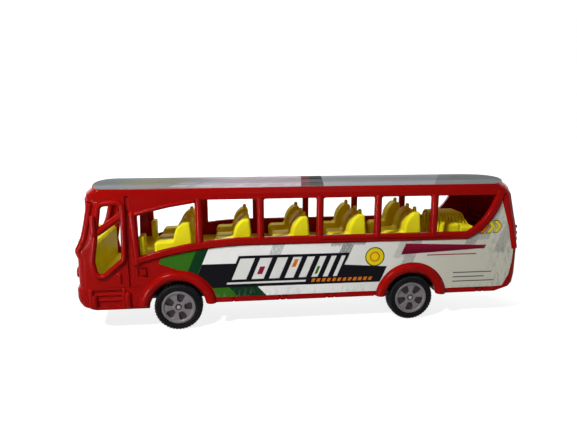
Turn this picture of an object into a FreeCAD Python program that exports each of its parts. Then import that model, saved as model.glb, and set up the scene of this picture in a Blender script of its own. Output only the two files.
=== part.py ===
import FreeCAD, Part
import Sketcher
import math
import os
from FreeCAD import Placement, Rotation, Vector

# Toy coach with a friction motor: +X runs to the tail, -Y is the door side, +Z is up, and the
# origin is on the ground under the middle of the bus.

# Driving dimensions in millimetres: alias, value, what it is
SIZES = (
    ("bus_length", 292.0, "overall length over nose and tail"),
    ("side_width", 62.0, "width over the flat side walls"),
    ("gutter_height", 90.0, "ground to the top edge of the sides"),
    ("roof_crown", 1.5, "rise of the roof between its edges"),
    ("roof_edge_round", 0.8, "step inwards of the roof's edge"),
    ("skirt_height", 17.3, "ground to the skirt between the wheels"),
    ("wall", 2.0, "wall of the body shell"),
    ("roof_wall", 1.8, "thickness of the roof at its edge"),
    ("nose_rake", 11.5, "setback of the roof's front edge from the bumper"),
    ("tail_rake", 7.7, "setback of the roof's rear edge from the tail"),
    ("nose_bow_radius", 125.0, "plan radius of the nose at the bumper"),
    ("nose_roof_bow_radius", 80.0, "plan radius of the roof's front edge"),
    ("tail_bow_radius", 140.0, "plan radius of the tail at the bumper"),
    ("tail_roof_bow_radius", 40.0, "plan radius of the roof's rear edge"),
    ("nose_corner_radius", 6.0, "plan radius of the front corners"),
    ("tail_corner_radius", 5.0, "plan radius of the rear corners"),
    ("front_zone", 78.5, "nose to the centre of the first pillar"),
    ("pillar_pitch", 37.4, "spacing of the window pillars"),
    ("pillar_width", 4.3, "width of the wall left at a pillar"),
    ("pillar_bar", 4.3, "diameter of the round bar on a pillar"),
    ("pillar_proud", 1.5, "how far a pillar bar stands out"),
    ("sill_height", 59.0, "ground to the window sill"),
    ("header_height", 83.0, "ground to the top of the windows"),
    ("window_corner", 1.5, "corner radius of a window"),
    ("band_proud", 1.3, "how far the sill band stands out"),
    ("band_drop", 4.6, "height of the sill band"),
    ("band_round", 1.0, "rounding of the sill band's edges"),
    ("band_cover", 1.0, "how far the sill band covers a window's edge"),
    ("door_bead", 3.4, "diameter of the bead round the door"),
    ("door_corner", 4.0, "corner radius of the door opening"),
    ("front_pillar_bar", 4.4, "diameter of the windscreen pillars"),
    ("tail_pillar_bar", 3.8, "diameter of the tail pillars"),
    ("bar_bend", 30.0, "radius of the bends along a pillar or bead"),
    ("header_bead", 2.4, "diameter of the bead under the header panel"),
    ("crossbar", 4.4, "diameter of the bar across the door"),
    ("mirror_pod", 3.8, "diameter of the mirror pod"),
    ("mirror_pod_height", 13.0, "height of the mirror pod"),
    ("windscreen_width", 53.0, "width of the windscreen opening"),
    ("windscreen_sill", 55.0, "ground to the windscreen's lower edge"),
    ("windscreen_corner", 5.0, "corner radius of the windscreen"),
    ("tail_panel_width", 42.0, "width of the sunk panel on the tail"),
    ("tail_panel_sill", 64.0, "ground to the lower edge of the tail's panel"),
    ("tail_panel_corner", 4.0, "corner radius of the tail's panel"),
    ("tail_panel_depth", 0.6, "depth of the tail's panel"),
    ("channel_width", 2.4, "width of the upright channel behind the door"),
    ("recess_depth", 1.0, "depth of channels and recesses in a wall"),
    ("rib_pitch", 4.2, "spacing of the ribs on nose and tail"),
    ("rib_height", 1.8, "height of a rib on nose and tail"),
    ("rib_proud", 1.0, "how far a rib stands out"),
    ("knob_size", 3.6, "side of the square knob"),
    ("knob_margin", 1.2, "gap round the square knob"),
    ("step_bead", 1.6, "diameter of the ribs on the step"),
    ("step_ridge", 3.0, "diameter of the ridges beside the step"),
    ("stud", 1.5, "diameter of the studs on the front corner"),
    ("stud_pitch", 2.2, "spacing of the studs"),
    ("lamp_size", 7.0, "diameter of a lamp boss"),
    ("lamp_pitch", 8.6, "spacing of two lamp bosses"),
    ("lamp_proud", 0.8, "how far a lamp boss stands out"),
    ("groove_width", 0.9, "width of the grooves in the skirt"),
    ("wheelbase", 150.9, "front axle to rear axle"),
    ("front_axle_setback", 63.9, "nose to the front axle"),
    ("tyre_diameter", 30.0, "outer diameter of a tyre"),
    ("tyre_width", 9.5, "width of a tyre"),
    ("tyre_shoulder", 1.3, "shoulder of a tyre"),
    ("tread_depth", 0.4, "depth of the tread notches"),
    ("tread_notch", 1.0, "width of a tread notch"),
    ("tread_notch_reach", 3.2, "how far a notch runs in from the tyre's side"),
    ("tread_count", 44.0, "notches round a tyre's side"),
    ("wheel_face", 31.6, "middle of the bus to the outer face of a tyre"),
    ("hub_diameter", 21.0, "outer diameter of a hub"),
    ("hub_dish", 1.0, "setback of the hub's face in the tyre"),
    ("hub_plate", 3.0, "thickness of the hub's face"),
    ("hub_rim", 1.3, "wall of the hub's rim"),
    ("hub_boss", 5.6, "diameter of the hub's boss"),
    ("hub_recess", 4.0, "diameter of the recess round the axle's end"),
    ("hub_recess_depth", 0.8, "depth of the recess round the axle's end"),
    ("hub_hole_count", 5.0, "holes in a hub"),
    ("hub_hole_depth", 2.0, "depth of a blind hole in the hub's face"),
    ("hub_hole_inner", 3.4, "hub centre to the narrow end of a hole"),
    ("hub_hole_outer", 8.6, "hub centre to the wide end of a hole"),
    ("hub_hole_narrow", 2.8, "width of a hole at its narrow end"),
    ("hub_hole_wide", 6.0, "width of a hole at its wide end"),
    ("hub_hole_corner", 1.4, "corner radius of a hole"),
    ("front_hub_turn", 4.0, "turn of the front hubs' holes, degrees from +X towards +Z"),
    ("rear_hub_turn", 52.0, "turn of the rear hubs' holes, degrees from +X towards +Z"),
    ("axle_diameter", 2.4, "diameter of the axles"),
    ("axle_clearance", 0.06, "gap all round an axle in its bearing"),
    ("axle_end", 0.1, "how far an axle stops short of the hub's face"),
    ("arch_gap", 2.5, "gap between a tyre and its arch"),
    ("flare_width", 6.4, "width of the rounded flare"),
    ("flare_inset", 0.6, "how far the flare's centre lies inside the wall"),
    ("chassis_height", 18.3, "ground to the underside of the chassis"),
    ("chassis_plate", 2.0, "thickness of the chassis"),
    ("chassis_end_gap", 7.5, "nose to the end of the chassis"),
    ("fit_gap", 0.35, "gap between a part and the shell round it"),
    ("wheel_gap", 2.0, "gap between a tyre and the chassis"),
    ("lug_width", 4.0, "width of an axle lug"),
    ("lug_length", 9.0, "length of an axle lug"),
    ("lug_end_gap", 0.4, "gap between a hub's boss and its lug"),
    ("pad_length", 36.0, "length of the flat pad under the chassis"),
    ("pad_width", 22.0, "width of the flat pad under the chassis"),
    ("pad_proud", 0.8, "how far the flat pad stands out"),
    ("pad_round", 2.0, "corner radius of the flat pad"),
    ("post_diameter", 6.4, "diameter of a screw post"),
    ("post_height", 10.7, "height of a screw post"),
    ("post_setback", 19.0, "nose or tail to a screw post"),
    ("post_spread", 24.0, "distance between two screw posts"),
    ("post_web", 1.6, "thickness of a post's web"),
    ("screw_diameter", 1.8, "shank of a chassis screw"),
    ("screw_length", 10.0, "length of a chassis screw under its head"),
    ("screw_head", 4.4, "head diameter of a chassis screw"),
    ("screw_head_height", 1.2, "head height of a chassis screw"),
    ("screw_clearance", 0.2, "gap round a screw in its through hole"),
    ("screw_slot", 0.7, "width and depth of a screw's slots"),
    ("tray_wall", 1.6, "thickness of the interior moulding"),
    ("floor_height", 47.8, "ground to the cabin floor"),
    ("well_height", 36.0, "ground to the floor of the step well"),
    ("dash_height", 56.6, "ground to the top of the dashboard"),
    ("dash_depth", 13.5, "depth of the dashboard behind the nose's wall"),
    ("tray_post", 5.0, "diameter of a post under the tray"),
    ("tray_post_spread", 36.0, "distance between posts across the bus"),
    ("seat_height", 22.8, "floor to the top of a seat back in the first row"),
    ("seat_rise", 0.9, "how much taller the seats of each row are than the row ahead"),
    ("seat_length", 23.3, "length of a seat along the bus"),
    ("seat_width", 11.6, "width of a seat"),
    ("seat_round", 1.6, "rounding of a seat's edges"),
    ("seat_pitch", 13.6, "spacing of the two seats of a pair"),
    ("pair_offset", 11.2, "middle of the bus to the middle of a pair of seats"),
    ("single_offset", 21.5, "middle of the bus to the middle of a single seat"),
    ("seat_lead", 8.5, "how far a seat's top lies ahead of its pillar"),
    ("seat_nub", 2.6, "diameter of the nub on a seat back"),
    ("cover_length", 31.0, "length of the engine cover"),
    ("cover_width", 26.0, "width of the engine cover"),
    ("cover_height", 19.6, "height of the engine cover over the floor"),
    ("cover_round", 6.0, "rounding of the engine cover"),
    ("cover_lead", 4.5, "last pillar to the engine cover"),
    ("cover_rib", 1.9, "diameter of a rib on the engine cover"),
    ("cover_rib_pitch", 2.3, "spacing of the engine cover's ribs"),
    ("side_box_width", 9.0, "width of the boxes beside the engine cover"),
    ("side_box_round", 2.0, "rounding of the boxes beside the cover"),
    ("partition_height", 13.9, "height of the partition over the floor"),
    ("partition_width", 10.0, "width of the partition"),
    ("film", 0.15, "thickness of a printed film"),
    ("film_margin", 0.5, "gap between a film and the edge round it"),
    ("gear_module", 0.6, "module of the motor's gears"),
    ("wheel_teeth", 24.0, "teeth of the large gears"),
    ("pinion_teeth", 10.0, "teeth of the small gears"),
    ("gear_width", 3.0, "face width of a gear"),
    ("gear_backlash", 0.12, "play between meshing teeth"),
    ("idler_angle", 22.0, "rise of the idler from the rear axle, degrees"),
    ("flywheel_angle", 34.0, "rise of the flywheel from the idler, degrees"),
    ("shaft_diameter", 1.5, "diameter of the idler and flywheel shafts"),
    ("flywheel_diameter", 17.0, "diameter of the flywheel"),
    ("flywheel_width", 4.6, "width of the flywheel"),
    ("case_wall", 1.2, "wall of the motor case"),
    ("case_gap", 0.8, "gap between the turning pieces and the case"),
    ("case_ear", 6.0, "length of the ears that carry the motor case"),
    ("side_play", 0.5, "gap beside each turning piece in the motor"),
    ("overrun", 6.0, "how far a cut runs past what it cuts"),
)

doc = FreeCAD.newDocument("ToyBus")
sheet = doc.addObject("Spreadsheet::Sheet", "Sizes")
for row, (alias, value, meaning) in enumerate(SIZES, start=1):
    sheet.set("A%d" % row, alias)
    sheet.set("B%d" % row, str(value))
    sheet.setAlias("B%d" % row, alias)
    sheet.set("C%d" % row, meaning)
doc.recompute()


class Sizes:
    """Reads a driving dimension from the sheet by its alias."""

    def __getattr__(self, alias):
        return float(sheet.get(alias))


s = Sizes()
nodes = []

# Places that follow from the driving dimensions
half_length = s.bus_length / 2
half_width = s.side_width / 2
inner_half = half_width - s.wall
tray_half = inner_half - s.fit_gap
axle_height = s.tyre_diameter / 2
front_axle_x = s.front_axle_setback - half_length
rear_axle_x = front_axle_x + s.wheelbase
arch_radius = axle_height + s.arch_gap
flare_radius = arch_radius + s.flare_width / 2
sticker_arch_radius = arch_radius + s.flare_width + s.film_margin
first_pillar_x = s.front_zone - half_length
PILLAR_COUNT = 5
pillars = [first_pillar_x + n * s.pillar_pitch for n in range(PILLAR_COUNT)]
tail_zone = half_length - pillars[-1]
chassis_top = s.chassis_height + s.chassis_plate
SIDES = (-1, 1)
Y_AXIS = Vector(0, 1, 0)
X_AXIS = Vector(1, 0, 0)
Z_AXIS = Vector(0, 0, 1)


def node(name, shape, placement=None):
    """Adds a finished sub-part whose shape was made with Part's own functions."""
    feature = doc.addObject("Part::Feature", name)
    feature.Label = name
    feature.Shape = shape
    if placement:
        feature.Placement = placement
    nodes.append(feature)
    return feature


def front_x(share):
    """A place between the nose (0) and the first pillar (1)."""
    return share * s.front_zone - half_length


def tail_x(share):
    """A place between the last pillar (0) and the tail (1)."""
    return pillars[-1] + share * tail_zone


def between(low, high, share):
    return low + (high - low) * share


SILL_SHARE = 0.6556


def up(share):
    """A height from the ground (0) over the window sill to the gutter (1)."""
    if share <= SILL_SHARE:
        return share / SILL_SHARE * s.sill_height
    above = (share - SILL_SHARE) / (1 - SILL_SHARE)
    return between(s.sill_height, s.gutter_height, above)


# Body shell: level share, setback share at the nose, at the tail, share of the way to the roof's bow
NOSE_TAIL_SHARES = (
    (0.170, 0.64, 2.34, 0.0),
    (0.192, 0.23, 1.69, 0.0),
    (0.224, 0.06, 0.55, 0.0),
    (0.256, 0.00, 0.28, 0.0),
    (0.316, 0.00, 0.17, 0.0),
    (0.329, 0.12, 0.16, 0.0),
    (0.528, 0.15, 0.13, 0.0),
    (0.567, 0.03, 0.14, 0.0),
    (0.591, 0.03, 0.16, 0.0),
    (0.607, 0.21, 0.18, 0.0),
    (0.669, 0.49, 0.24, 0.15),
    (0.778, 0.68, 0.47, 0.43),
    (0.911, 0.85, 0.52, 0.78),
    (0.927, 0.68, 0.53, 0.81),
    (0.964, 0.68, 0.60, 0.91),
    (1.000, 1.00, 1.00, 1.0),
)
# The hollow inside keeps a wall behind each level but skips the bumper's and the lip's steps
HOLLOW_SHARES = (
    (0.111, 0.62, 0.91, 0.0),
    (0.222, 0.24, 0.58, 0.0),
    (0.256, 0.03, 0.36, 0.0),
    (0.528, 0.17, 0.16, 0.0),
    (0.607, 0.23, 0.20, 0.0),
    (0.669, 0.50, 0.27, 0.15),
    (0.778, 0.69, 0.49, 0.43),
    (0.911, 0.86, 0.55, 0.78),
)


def plan_end(x_end, bow, corner, width, way):
    """Tangent points of one bowed end: side line, middle of the corner and start of the bow."""
    centre = x_end - way * bow
    reach = math.sqrt((bow - corner) ** 2 - (width - corner) ** 2)
    corner_x = centre + way * reach
    turn = math.atan2(width - corner, reach)
    middle = (turn + math.pi / 2) / 2
    bow_start = (centre + way * bow * math.cos(turn), bow * math.sin(turn))
    corner_mid = (corner_x + way * corner * math.cos(middle),
                  width - corner + corner * math.sin(middle))
    return corner_x, corner_mid, bow_start


def plan_wire(level, nose, tail, width, blend, inset):
    """Closed outline of the bus at one height: straight sides, rounded corners, bowed ends."""
    nose_bow = between(s.nose_bow_radius, s.nose_roof_bow_radius, blend) - inset
    tail_bow = between(s.tail_bow_radius, s.tail_roof_bow_radius, blend) - inset
    front = plan_end(-nose, nose_bow, s.nose_corner_radius - inset, width, -1)
    rear = plan_end(tail, tail_bow, s.tail_corner_radius - inset, width, 1)

    def point(x, y):
        return Vector(x, y, level)

    def corner(end, way):
        side = point(end[0], way * width)
        mid = point(end[1][0], way * end[1][1])
        bow = point(end[2][0], way * end[2][1])
        return side, mid, bow

    near_rear, far_rear = corner(rear, -1), corner(rear, 1)
    near_front, far_front = corner(front, -1), corner(front, 1)
    edges = (
        Part.LineSegment(near_front[0], near_rear[0]),
        Part.Arc(near_rear[0], near_rear[1], near_rear[2]),
        Part.Arc(near_rear[2], point(tail, 0), far_rear[2]),
        Part.Arc(far_rear[2], far_rear[1], far_rear[0]),
        Part.LineSegment(far_rear[0], far_front[0]),
        Part.Arc(far_front[0], far_front[1], far_front[2]),
        Part.Arc(far_front[2], point(-nose, 0), near_front[2]),
        Part.Arc(near_front[2], near_front[1], near_front[0]),
    )
    return Part.Wire([edge.toShape() for edge in edges])


def level_wire(shares, inset=0.0):
    """The outline at one row of a table of shares, drawn in by an inset."""
    level, nose, tail, blend = shares
    width = half_width - inset
    if level == 1.0:
        width -= s.roof_edge_round
    return plan_wire(up(level), half_length - nose * s.nose_rake - inset,
                     half_length - tail * s.tail_rake - inset, width, blend, inset)


def setback(level, column):
    """The setback share of the nose (1) or tail (2) at a height, read between two levels."""
    for low, high in zip(NOSE_TAIL_SHARES, NOSE_TAIL_SHARES[1:]):
        bottom, top = up(low[0]), up(high[0])
        if bottom <= level <= top:
            return between(low[column], high[column], (level - bottom) / (top - bottom))
    return NOSE_TAIL_SHARES[0][column]


def nose_at(level):
    return setback(level, 1) * s.nose_rake - half_length


def tail_at(level):
    return half_length - setback(level, 2) * s.tail_rake


def hollow(gap):
    """The space inside the shell, drawn in by a gap."""
    wires = [level_wire(shares, s.wall + gap) for shares in HOLLOW_SHARES]
    under_roof = level_wire(HOLLOW_SHARES[-1], s.wall + gap)
    rise = s.gutter_height - s.roof_wall - gap - up(HOLLOW_SHARES[-1][0])
    wires.append(under_roof.translated(Vector(0, 0, rise)))
    return Part.makeLoft(wires, True, True)


def outline(points, y, close=True):
    """A wire on the plane Y = y from points (x, z) and arcs ((x, z) through, (x, z) end)."""
    def at(xz):
        return Vector(xz[0], y, xz[1])

    edges = []
    last = points[0]
    for item in points[1:]:
        if isinstance(item[0], tuple):
            through, end = item
            edges.append(Part.Arc(at(last), at(through), at(end)).toShape())
            last = end
        else:
            edges.append(Part.LineSegment(at(last), at(item)).toShape())
            last = item
    if close:
        edges.append(Part.LineSegment(at(last), at(points[0])).toShape())
    return Part.Wire(edges)


def corner_arc(before, here, after, radius):
    """An arc that rounds one corner of a run of straight lines: its start, middle and end."""
    back = (before - here).normalize()
    ahead = (after - here).normalize()
    half_angle = back.getAngle(ahead) / 2
    cut = radius / math.tan(half_angle)
    middle = (back + ahead).normalize() * (radius / math.sin(half_angle) - radius)
    return here + back * cut, here + middle, here + ahead * cut


def rounded(corners, radii, y):
    """A closed wire on the plane Y = y through corners (x, z), each rounded to its radius."""
    places = [Vector(x, y, z) for x, z in corners]
    if not isinstance(radii, list):
        radii = [radii] * len(places)
    arcs = []
    for n, here in enumerate(places):
        if radii[n]:
            arcs.append(corner_arc(places[n - 1], here, places[(n + 1) % len(places)], radii[n]))
        else:
            arcs.append((here,))
    edges = []
    for n, arc in enumerate(arcs):
        if len(arc) > 1:
            edges.append(Part.Arc(*arc).toShape())
        edges.append(Part.LineSegment(arc[-1], arcs[(n + 1) % len(arcs)][0]).toShape())
    return Part.Wire(edges)


def slab(wire, depth):
    """Thickens a wire on an upright plane towards +Y."""
    return Part.Face(wire).extrude(Vector(0, depth, 0))


def rounded_path(points, radius):
    """Straight runs through the points, joined by tangent arcs of one radius."""
    edges = []
    start = points[0]
    for before, here, after in zip(points, points[1:], points[2:]):
        arc = corner_arc(before, here, after, radius)
        edges.append(Part.LineSegment(start, arc[0]).toShape())
        edges.append(Part.Arc(*arc).toShape())
        start = arc[2]
    edges.append(Part.LineSegment(start, points[-1]).toShape())
    return Part.Wire(edges)


def pipe(path, diameter):
    """A round bar along a path."""
    first = path.OrderedEdges[0]
    start = first.valueAt(first.FirstParameter)
    along = first.tangentAt(first.FirstParameter)
    ring = Part.Wire([Part.makeCircle(diameter / 2, start, along)])
    return path.makePipeShell([ring], True, True)


def capsule(start, end, diameter):
    """A round bar with a ball at each end, turned in one piece."""
    radius = diameter / 2
    length = (end - start).Length
    profile = [
        Part.Arc(Vector(0, 0, -radius), Vector(radius * math.cos(math.pi / 4), 0,
                 -radius * math.sin(math.pi / 4)), Vector(radius, 0, 0)).toShape(),
        Part.LineSegment(Vector(radius, 0, 0), Vector(radius, 0, length)).toShape(),
        Part.Arc(Vector(radius, 0, length), Vector(radius * math.cos(math.pi / 4), 0,
                 length + radius * math.sin(math.pi / 4)), Vector(0, 0, length + radius)).toShape(),
        Part.LineSegment(Vector(0, 0, length + radius), Vector(0, 0, -radius)).toShape(),
    ]
    turned = Part.Face(Part.Wire(profile)).revolve(Vector(), Z_AXIS, 360)
    turned.Placement = Placement(start, Rotation(Z_AXIS, end - start))
    return turned


def on_both_sides(make):
    """Calls make(side) for the near side (-1) and the far side (1) and joins the lists."""
    return make(-1) + make(1)


def wall_box(x_low, x_high, z_low, z_high, depth, side):
    """A box that reaches into one side wall from outside."""
    y_low = -half_width - s.overrun if side < 0 else half_width - depth
    return Part.makeBox(x_high - x_low, depth + s.overrun, z_high - z_low,
                        Vector(x_low, y_low, z_low))


# Window openings, cut through both side walls at once
WINDOW_TOP_SHARES = ((0.532, 0.828), (0.740, 0.879), (0.968, 0.909))
SILL_TOP_SHARES = ((0.490, 0.528), (0.900, 0.618), (1.391, 0.6556))
TIP_SHARES = (0.676, 0.488)
TAIL_ARC_SHARES = ((0.368, 0.6556), (0.535, 0.758))
TAIL_ARC_END_SHARE = 0.655
DOOR_SHARES = ((0.252, 0.906), (0.433, 0.917), (0.418, 0.523),
               (0.205, 0.369), (0.180, 0.517), (0.219, 0.721))


def front_points(shares):
    return [(front_x(x), up(z)) for x, z in shares]


def tail_arc(shift, top):
    """The arc that closes the last window, moved outwards by a shift: start, through, end."""
    start, through = [(tail_x(x), up(z)) for x, z in TAIL_ARC_SHARES]
    diagonal = shift * math.cos(math.pi / 4)
    return ((start[0], s.sill_height - shift), (through[0] + diagonal, through[1] - diagonal),
            (tail_x(TAIL_ARC_END_SHARE) + shift, top))


def window_cutters():
    """Prisms for six windows and the door opening."""
    depth = s.side_width + 2 * s.overrun
    y = -half_width - s.overrun
    clear = s.pillar_width / 2
    top = front_points(WINDOW_TOP_SHARES)
    sill = front_points(SILL_TOP_SHARES)
    first = [top[0], (top[1], top[2]), (top[2][0], sill[1][1] - s.band_cover),
             (top[0][0], sill[0][1])]
    cutters = [slab(outline(first, y), depth)]
    for left, right in zip(pillars, pillars[1:]):
        low = s.sill_height - s.band_drop / 2
        corners = ((left + clear, low), (right - clear, low),
                   (right - clear, s.header_height), (left + clear, s.header_height))
        cutters.append(slab(rounded(corners, s.window_corner, y), depth))
    start, through, end = tail_arc(s.band_cover, s.header_height)
    left = pillars[-1] + clear
    last = [(left, s.header_height), (left, start[1]), start, (through, end)]
    cutters.append(slab(outline(last, y), depth))
    cutters.append(slab(rounded(front_points(DOOR_SHARES), s.door_corner, y), depth))
    return cutters


def end_window(x, width, low, corner):
    """A block with rounded edges that runs right through the nose or tail wall along X."""
    reach = s.nose_rake + s.wall + 2 * s.overrun
    box = Part.makeBox(2 * reach, width, s.header_height - low,
                       Vector(x - reach, -width / 2, low))
    along = [edge for edge in box.Edges if abs(edge.Vertexes[0].X - edge.Vertexes[-1].X) > reach]
    return box.makeFillet(corner, along)


def band_border(drop):
    """Outline of the sill band, from its upper edge down by a drop, swept up at the tail."""
    start, through, end = front_points(SILL_TOP_SHARES)
    top = s.header_height + s.band_drop / 2
    rise = tail_arc(0, top)
    fall = tail_arc(drop, top)
    lower = [(x, z - drop) for x, z in (start, through, end)]
    return [start, (through, end), rise[0], (rise[1], rise[2]), fall[2], (fall[1], fall[0]),
            lower[2], (lower[1], lower[0])]


def sill_band(side):
    """The rounded band that carries the windows and sweeps up to the roof at the tail."""
    y = side * (half_width + s.band_proud)
    depth = s.band_proud + s.wall
    band = Part.Face(outline(band_border(s.band_drop), y)).extrude(Vector(0, -side * depth, 0))
    rims = [edge for edge in band.Edges
            if all(abs(v.Y - y) < s.film for v in edge.Vertexes) and edge.Length > s.band_drop * 2]
    return [band.makeFillet(s.band_round, rims)]


def flares(side):
    """Rounded flares over both wheels, cut off at the skirt and flush with the wall inside."""
    y = side * (half_width - s.flare_inset)
    inside = Part.makeBox(s.bus_length, 2 * inner_half, s.gutter_height,
                          Vector(-half_length, -inner_half, 0))
    below = Part.makeBox(s.bus_length, 2 * s.side_width, s.gutter_height,
                         Vector(-half_length, -s.side_width, s.skirt_height - s.gutter_height))
    return [Part.makeTorus(flare_radius, s.flare_width / 2, Vector(x, y, axle_height),
                           Y_AXIS).cut([below, inside])
            for x in (front_axle_x, rear_axle_x)]


def pillar_bars(side):
    y = side * (half_width + s.pillar_proud - s.pillar_bar / 2)
    low = s.sill_height - s.band_drop / 2
    rise = s.header_height + s.band_cover - low
    return [Part.makeCylinder(s.pillar_bar / 2, rise, Vector(x, y, low)) for x in pillars]


# Places of the moulded details on the front corner: share of the front zone, share of the height
FRONT_PILLAR_SHARES = ((0.081, 0.594), (0.127, 0.669), (0.158, 0.777), (0.191, 0.911))
TAIL_PILLAR_SHARES = ((0.752, 0.922), (0.786, 0.822), (0.840, 0.689), (0.893, 0.522))
B_PILLAR_SHARES = ((0.494, 0.833), (0.518, 0.500))
HEADER_BEAD_SHARES = ((0.484, 0.821), (0.611, 0.857), (0.764, 0.887), (0.968, 0.916))
CROSSBAR_SHARES = ((0.236, 0.717), (0.429, 0.833))
MIRROR_SHARES = (0.210, 0.716)
HANDLE_SHARES = ((0.378, 0.372), (0.378, 0.417))
STEP_SHARES = ((0.153, 0.194), (0.401, 0.311))
STEP_BEAD_SHARES = (0.238, 0.277)
KNOB_SHARES = (0.556, 0.430)
CHANNEL_SHARES = (0.446, 0.330, 0.955)
STUD_SHARES = (0.104, 0.345)
STUD_COUNT = 7
SKIRT_GROOVE_SHARES = (1.248, 1.623, 1.675, 2.013, 2.076, 2.420, 3.318, 3.370)


def tail_pillar(side, diameter):
    """The bar that leans along the rear corner."""
    points = [Vector(tail_x(x), side * (half_width - s.flare_inset), up(z))
              for x, z in TAIL_PILLAR_SHARES]
    return pipe(rounded_path(points, s.bar_bend), diameter)


def side_beads(side):
    """Pillars, door frame and small mouldings that stand out of one side."""
    def places(shares, y):
        return [Vector(front_x(x), side * y, up(z)) for x, z in shares]

    def tube(shares, y, diameter):
        return pipe(rounded_path(places(shares, y), s.bar_bend), diameter)

    corner_y = half_width - s.nose_corner_radius * (1 - math.cos(math.pi / 4))
    inset_y = half_width - s.flare_inset
    door = rounded(front_points(DOOR_SHARES), s.door_corner, side * half_width)
    pieces = [
        pipe(door, s.door_bead),
        tube(FRONT_PILLAR_SHARES, corner_y, s.front_pillar_bar),
        tail_pillar(side, s.tail_pillar_bar),
        capsule(*places(B_PILLAR_SHARES, inset_y), s.front_pillar_bar),
        tube(HEADER_BEAD_SHARES, half_width, s.header_bead),
        capsule(*places(CROSSBAR_SHARES, inset_y), s.crossbar),
        capsule(*places(HANDLE_SHARES, half_width), s.header_bead),
    ]
    mirror_y = half_width + s.mirror_pod / 2 - s.flare_inset
    foot = Vector(front_x(MIRROR_SHARES[0]), side * mirror_y, up(MIRROR_SHARES[1]))
    head = foot + Vector(0, 0, s.mirror_pod_height - s.mirror_pod)
    pieces.append(capsule(foot, head, s.mirror_pod))
    (step_left, step_low), (step_right, step_high) = STEP_SHARES
    for x in (step_left, step_right):
        pieces.append(capsule(*places(((x, step_low), (x, step_high)), inset_y), s.step_ridge))
    for z in STEP_BEAD_SHARES:
        ends = places(((step_left, z), (step_right, z)), half_width - s.recess_depth)
        pieces.append(capsule(*ends, s.step_bead))
    studs = Vector(front_x(STUD_SHARES[0]), side * corner_y, up(STUD_SHARES[1]))
    pieces += [Part.makeSphere(s.stud / 2, studs + Vector(0, 0, n * s.stud_pitch))
               for n in range(STUD_COUNT)]
    return pieces


def side_recesses(side):
    """Channel, step, knob recess and skirt grooves cut into one side."""
    (step_left, step_low), (step_right, step_high) = STEP_SHARES
    channel, channel_low, channel_high = CHANNEL_SHARES
    knob_x, knob_z = front_x(KNOB_SHARES[0]), up(KNOB_SHARES[1])
    reach = s.knob_size / 2 + s.knob_margin
    cuts = [
        wall_box(front_x(step_left), front_x(step_right), up(step_low), up(step_high),
                 s.recess_depth, side),
        wall_box(front_x(channel), front_x(channel) + s.channel_width, up(channel_low),
                 up(channel_high), s.recess_depth, side),
        wall_box(knob_x - reach, knob_x + reach, knob_z - reach, knob_z + reach,
                 s.recess_depth, side),
    ]
    for share in SKIRT_GROOVE_SHARES:
        x = front_x(share)
        cuts.append(wall_box(x, x + s.groove_width, s.skirt_height - s.overrun,
                             s.skirt_height + s.band_drop / 2 + s.recess_depth, s.groove_width,
                             side))
    return cuts


def knobs(side):
    """The square knob that stands in its recess."""
    half = s.knob_size / 2
    y = half_width - s.wall / 2 if side > 0 else -half_width - s.recess_depth / 2
    block = Part.makeBox(s.knob_size, s.wall / 2 + s.recess_depth / 2, s.knob_size,
                         Vector(front_x(KNOB_SHARES[0]) - half, y, up(KNOB_SHARES[1]) - half))
    across = [edge for edge in block.Edges
              if abs(edge.Vertexes[0].Y - edge.Vertexes[-1].Y) > s.film]
    return [block.makeFillet(half / 2, across)]


# Ribs across the nose and tail: lowest level as a share of the height, and how many
NOSE_RIB_SHARE, TAIL_RIB_SHARE = 0.375, 0.522
NOSE_RIB_COUNT, TAIL_RIB_COUNT = 3, 4
NOSE_LAMP_SHARE, TAIL_LAMP_SHARE = 0.420, 0.400


def end_ribs():
    """Ribs that follow the bow of the nose (a grille) and of the tail."""
    ribs = []
    rows = ((NOSE_RIB_SHARE, -1, NOSE_RIB_COUNT, s.tail_panel_width / 2),
            (TAIL_RIB_SHARE, 1, TAIL_RIB_COUNT, s.windscreen_width))
    for level_share, way, count, width in rows:
        for n in range(count):
            level = up(level_share) + n * s.rib_pitch
            wire = plan_wire(level, s.rib_proud - nose_at(level), tail_at(level) + s.rib_proud,
                             half_width, 0.0, 0.0)
            plate = Part.Face(wire).extrude(Vector(0, 0, s.rib_height))
            keep = Part.makeBox(s.nose_rake, width, s.rib_height,
                                Vector(0, -width / 2, level))
            start = half_length - s.nose_rake + s.rib_proud
            keep.translate(Vector(start if way > 0 else -start - s.nose_rake, 0, 0))
            ribs.append(plate.common(keep))
    return ribs


def lamp_bosses():
    """Two round lamp bosses on each side of the nose and of the tail."""
    bosses = []
    for side in SIDES:
        for n in (0, 1):
            y = side * (s.tail_panel_width / 2 - n * s.lamp_pitch + s.lamp_proud)
            z = up(NOSE_LAMP_SHARE)
            x = nose_at(z) + s.nose_bow_radius
            face = x - math.sqrt(s.nose_bow_radius ** 2 - y ** 2) - s.lamp_proud
            bosses.append(Part.makeCylinder(s.lamp_size / 2, s.wall + s.lamp_proud,
                                            Vector(face, y, z), X_AXIS))
            y = side * s.tail_panel_width / 2
            z = up(TAIL_LAMP_SHARE) - n * s.lamp_pitch
            x = tail_at(z) - s.tail_bow_radius
            face = x + math.sqrt(s.tail_bow_radius ** 2 - y ** 2) + s.lamp_proud
            bosses.append(Part.makeCylinder(s.lamp_size / 2, s.wall + s.lamp_proud,
                                            Vector(face, y, z), -X_AXIS))
    return bosses


def post_places():
    """Middle of each screw post and which way its wall lies."""
    return [(way * (half_length - s.post_setback), side * s.post_spread / 2, way)
            for way in (-1, 1) for side in SIDES]


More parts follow.
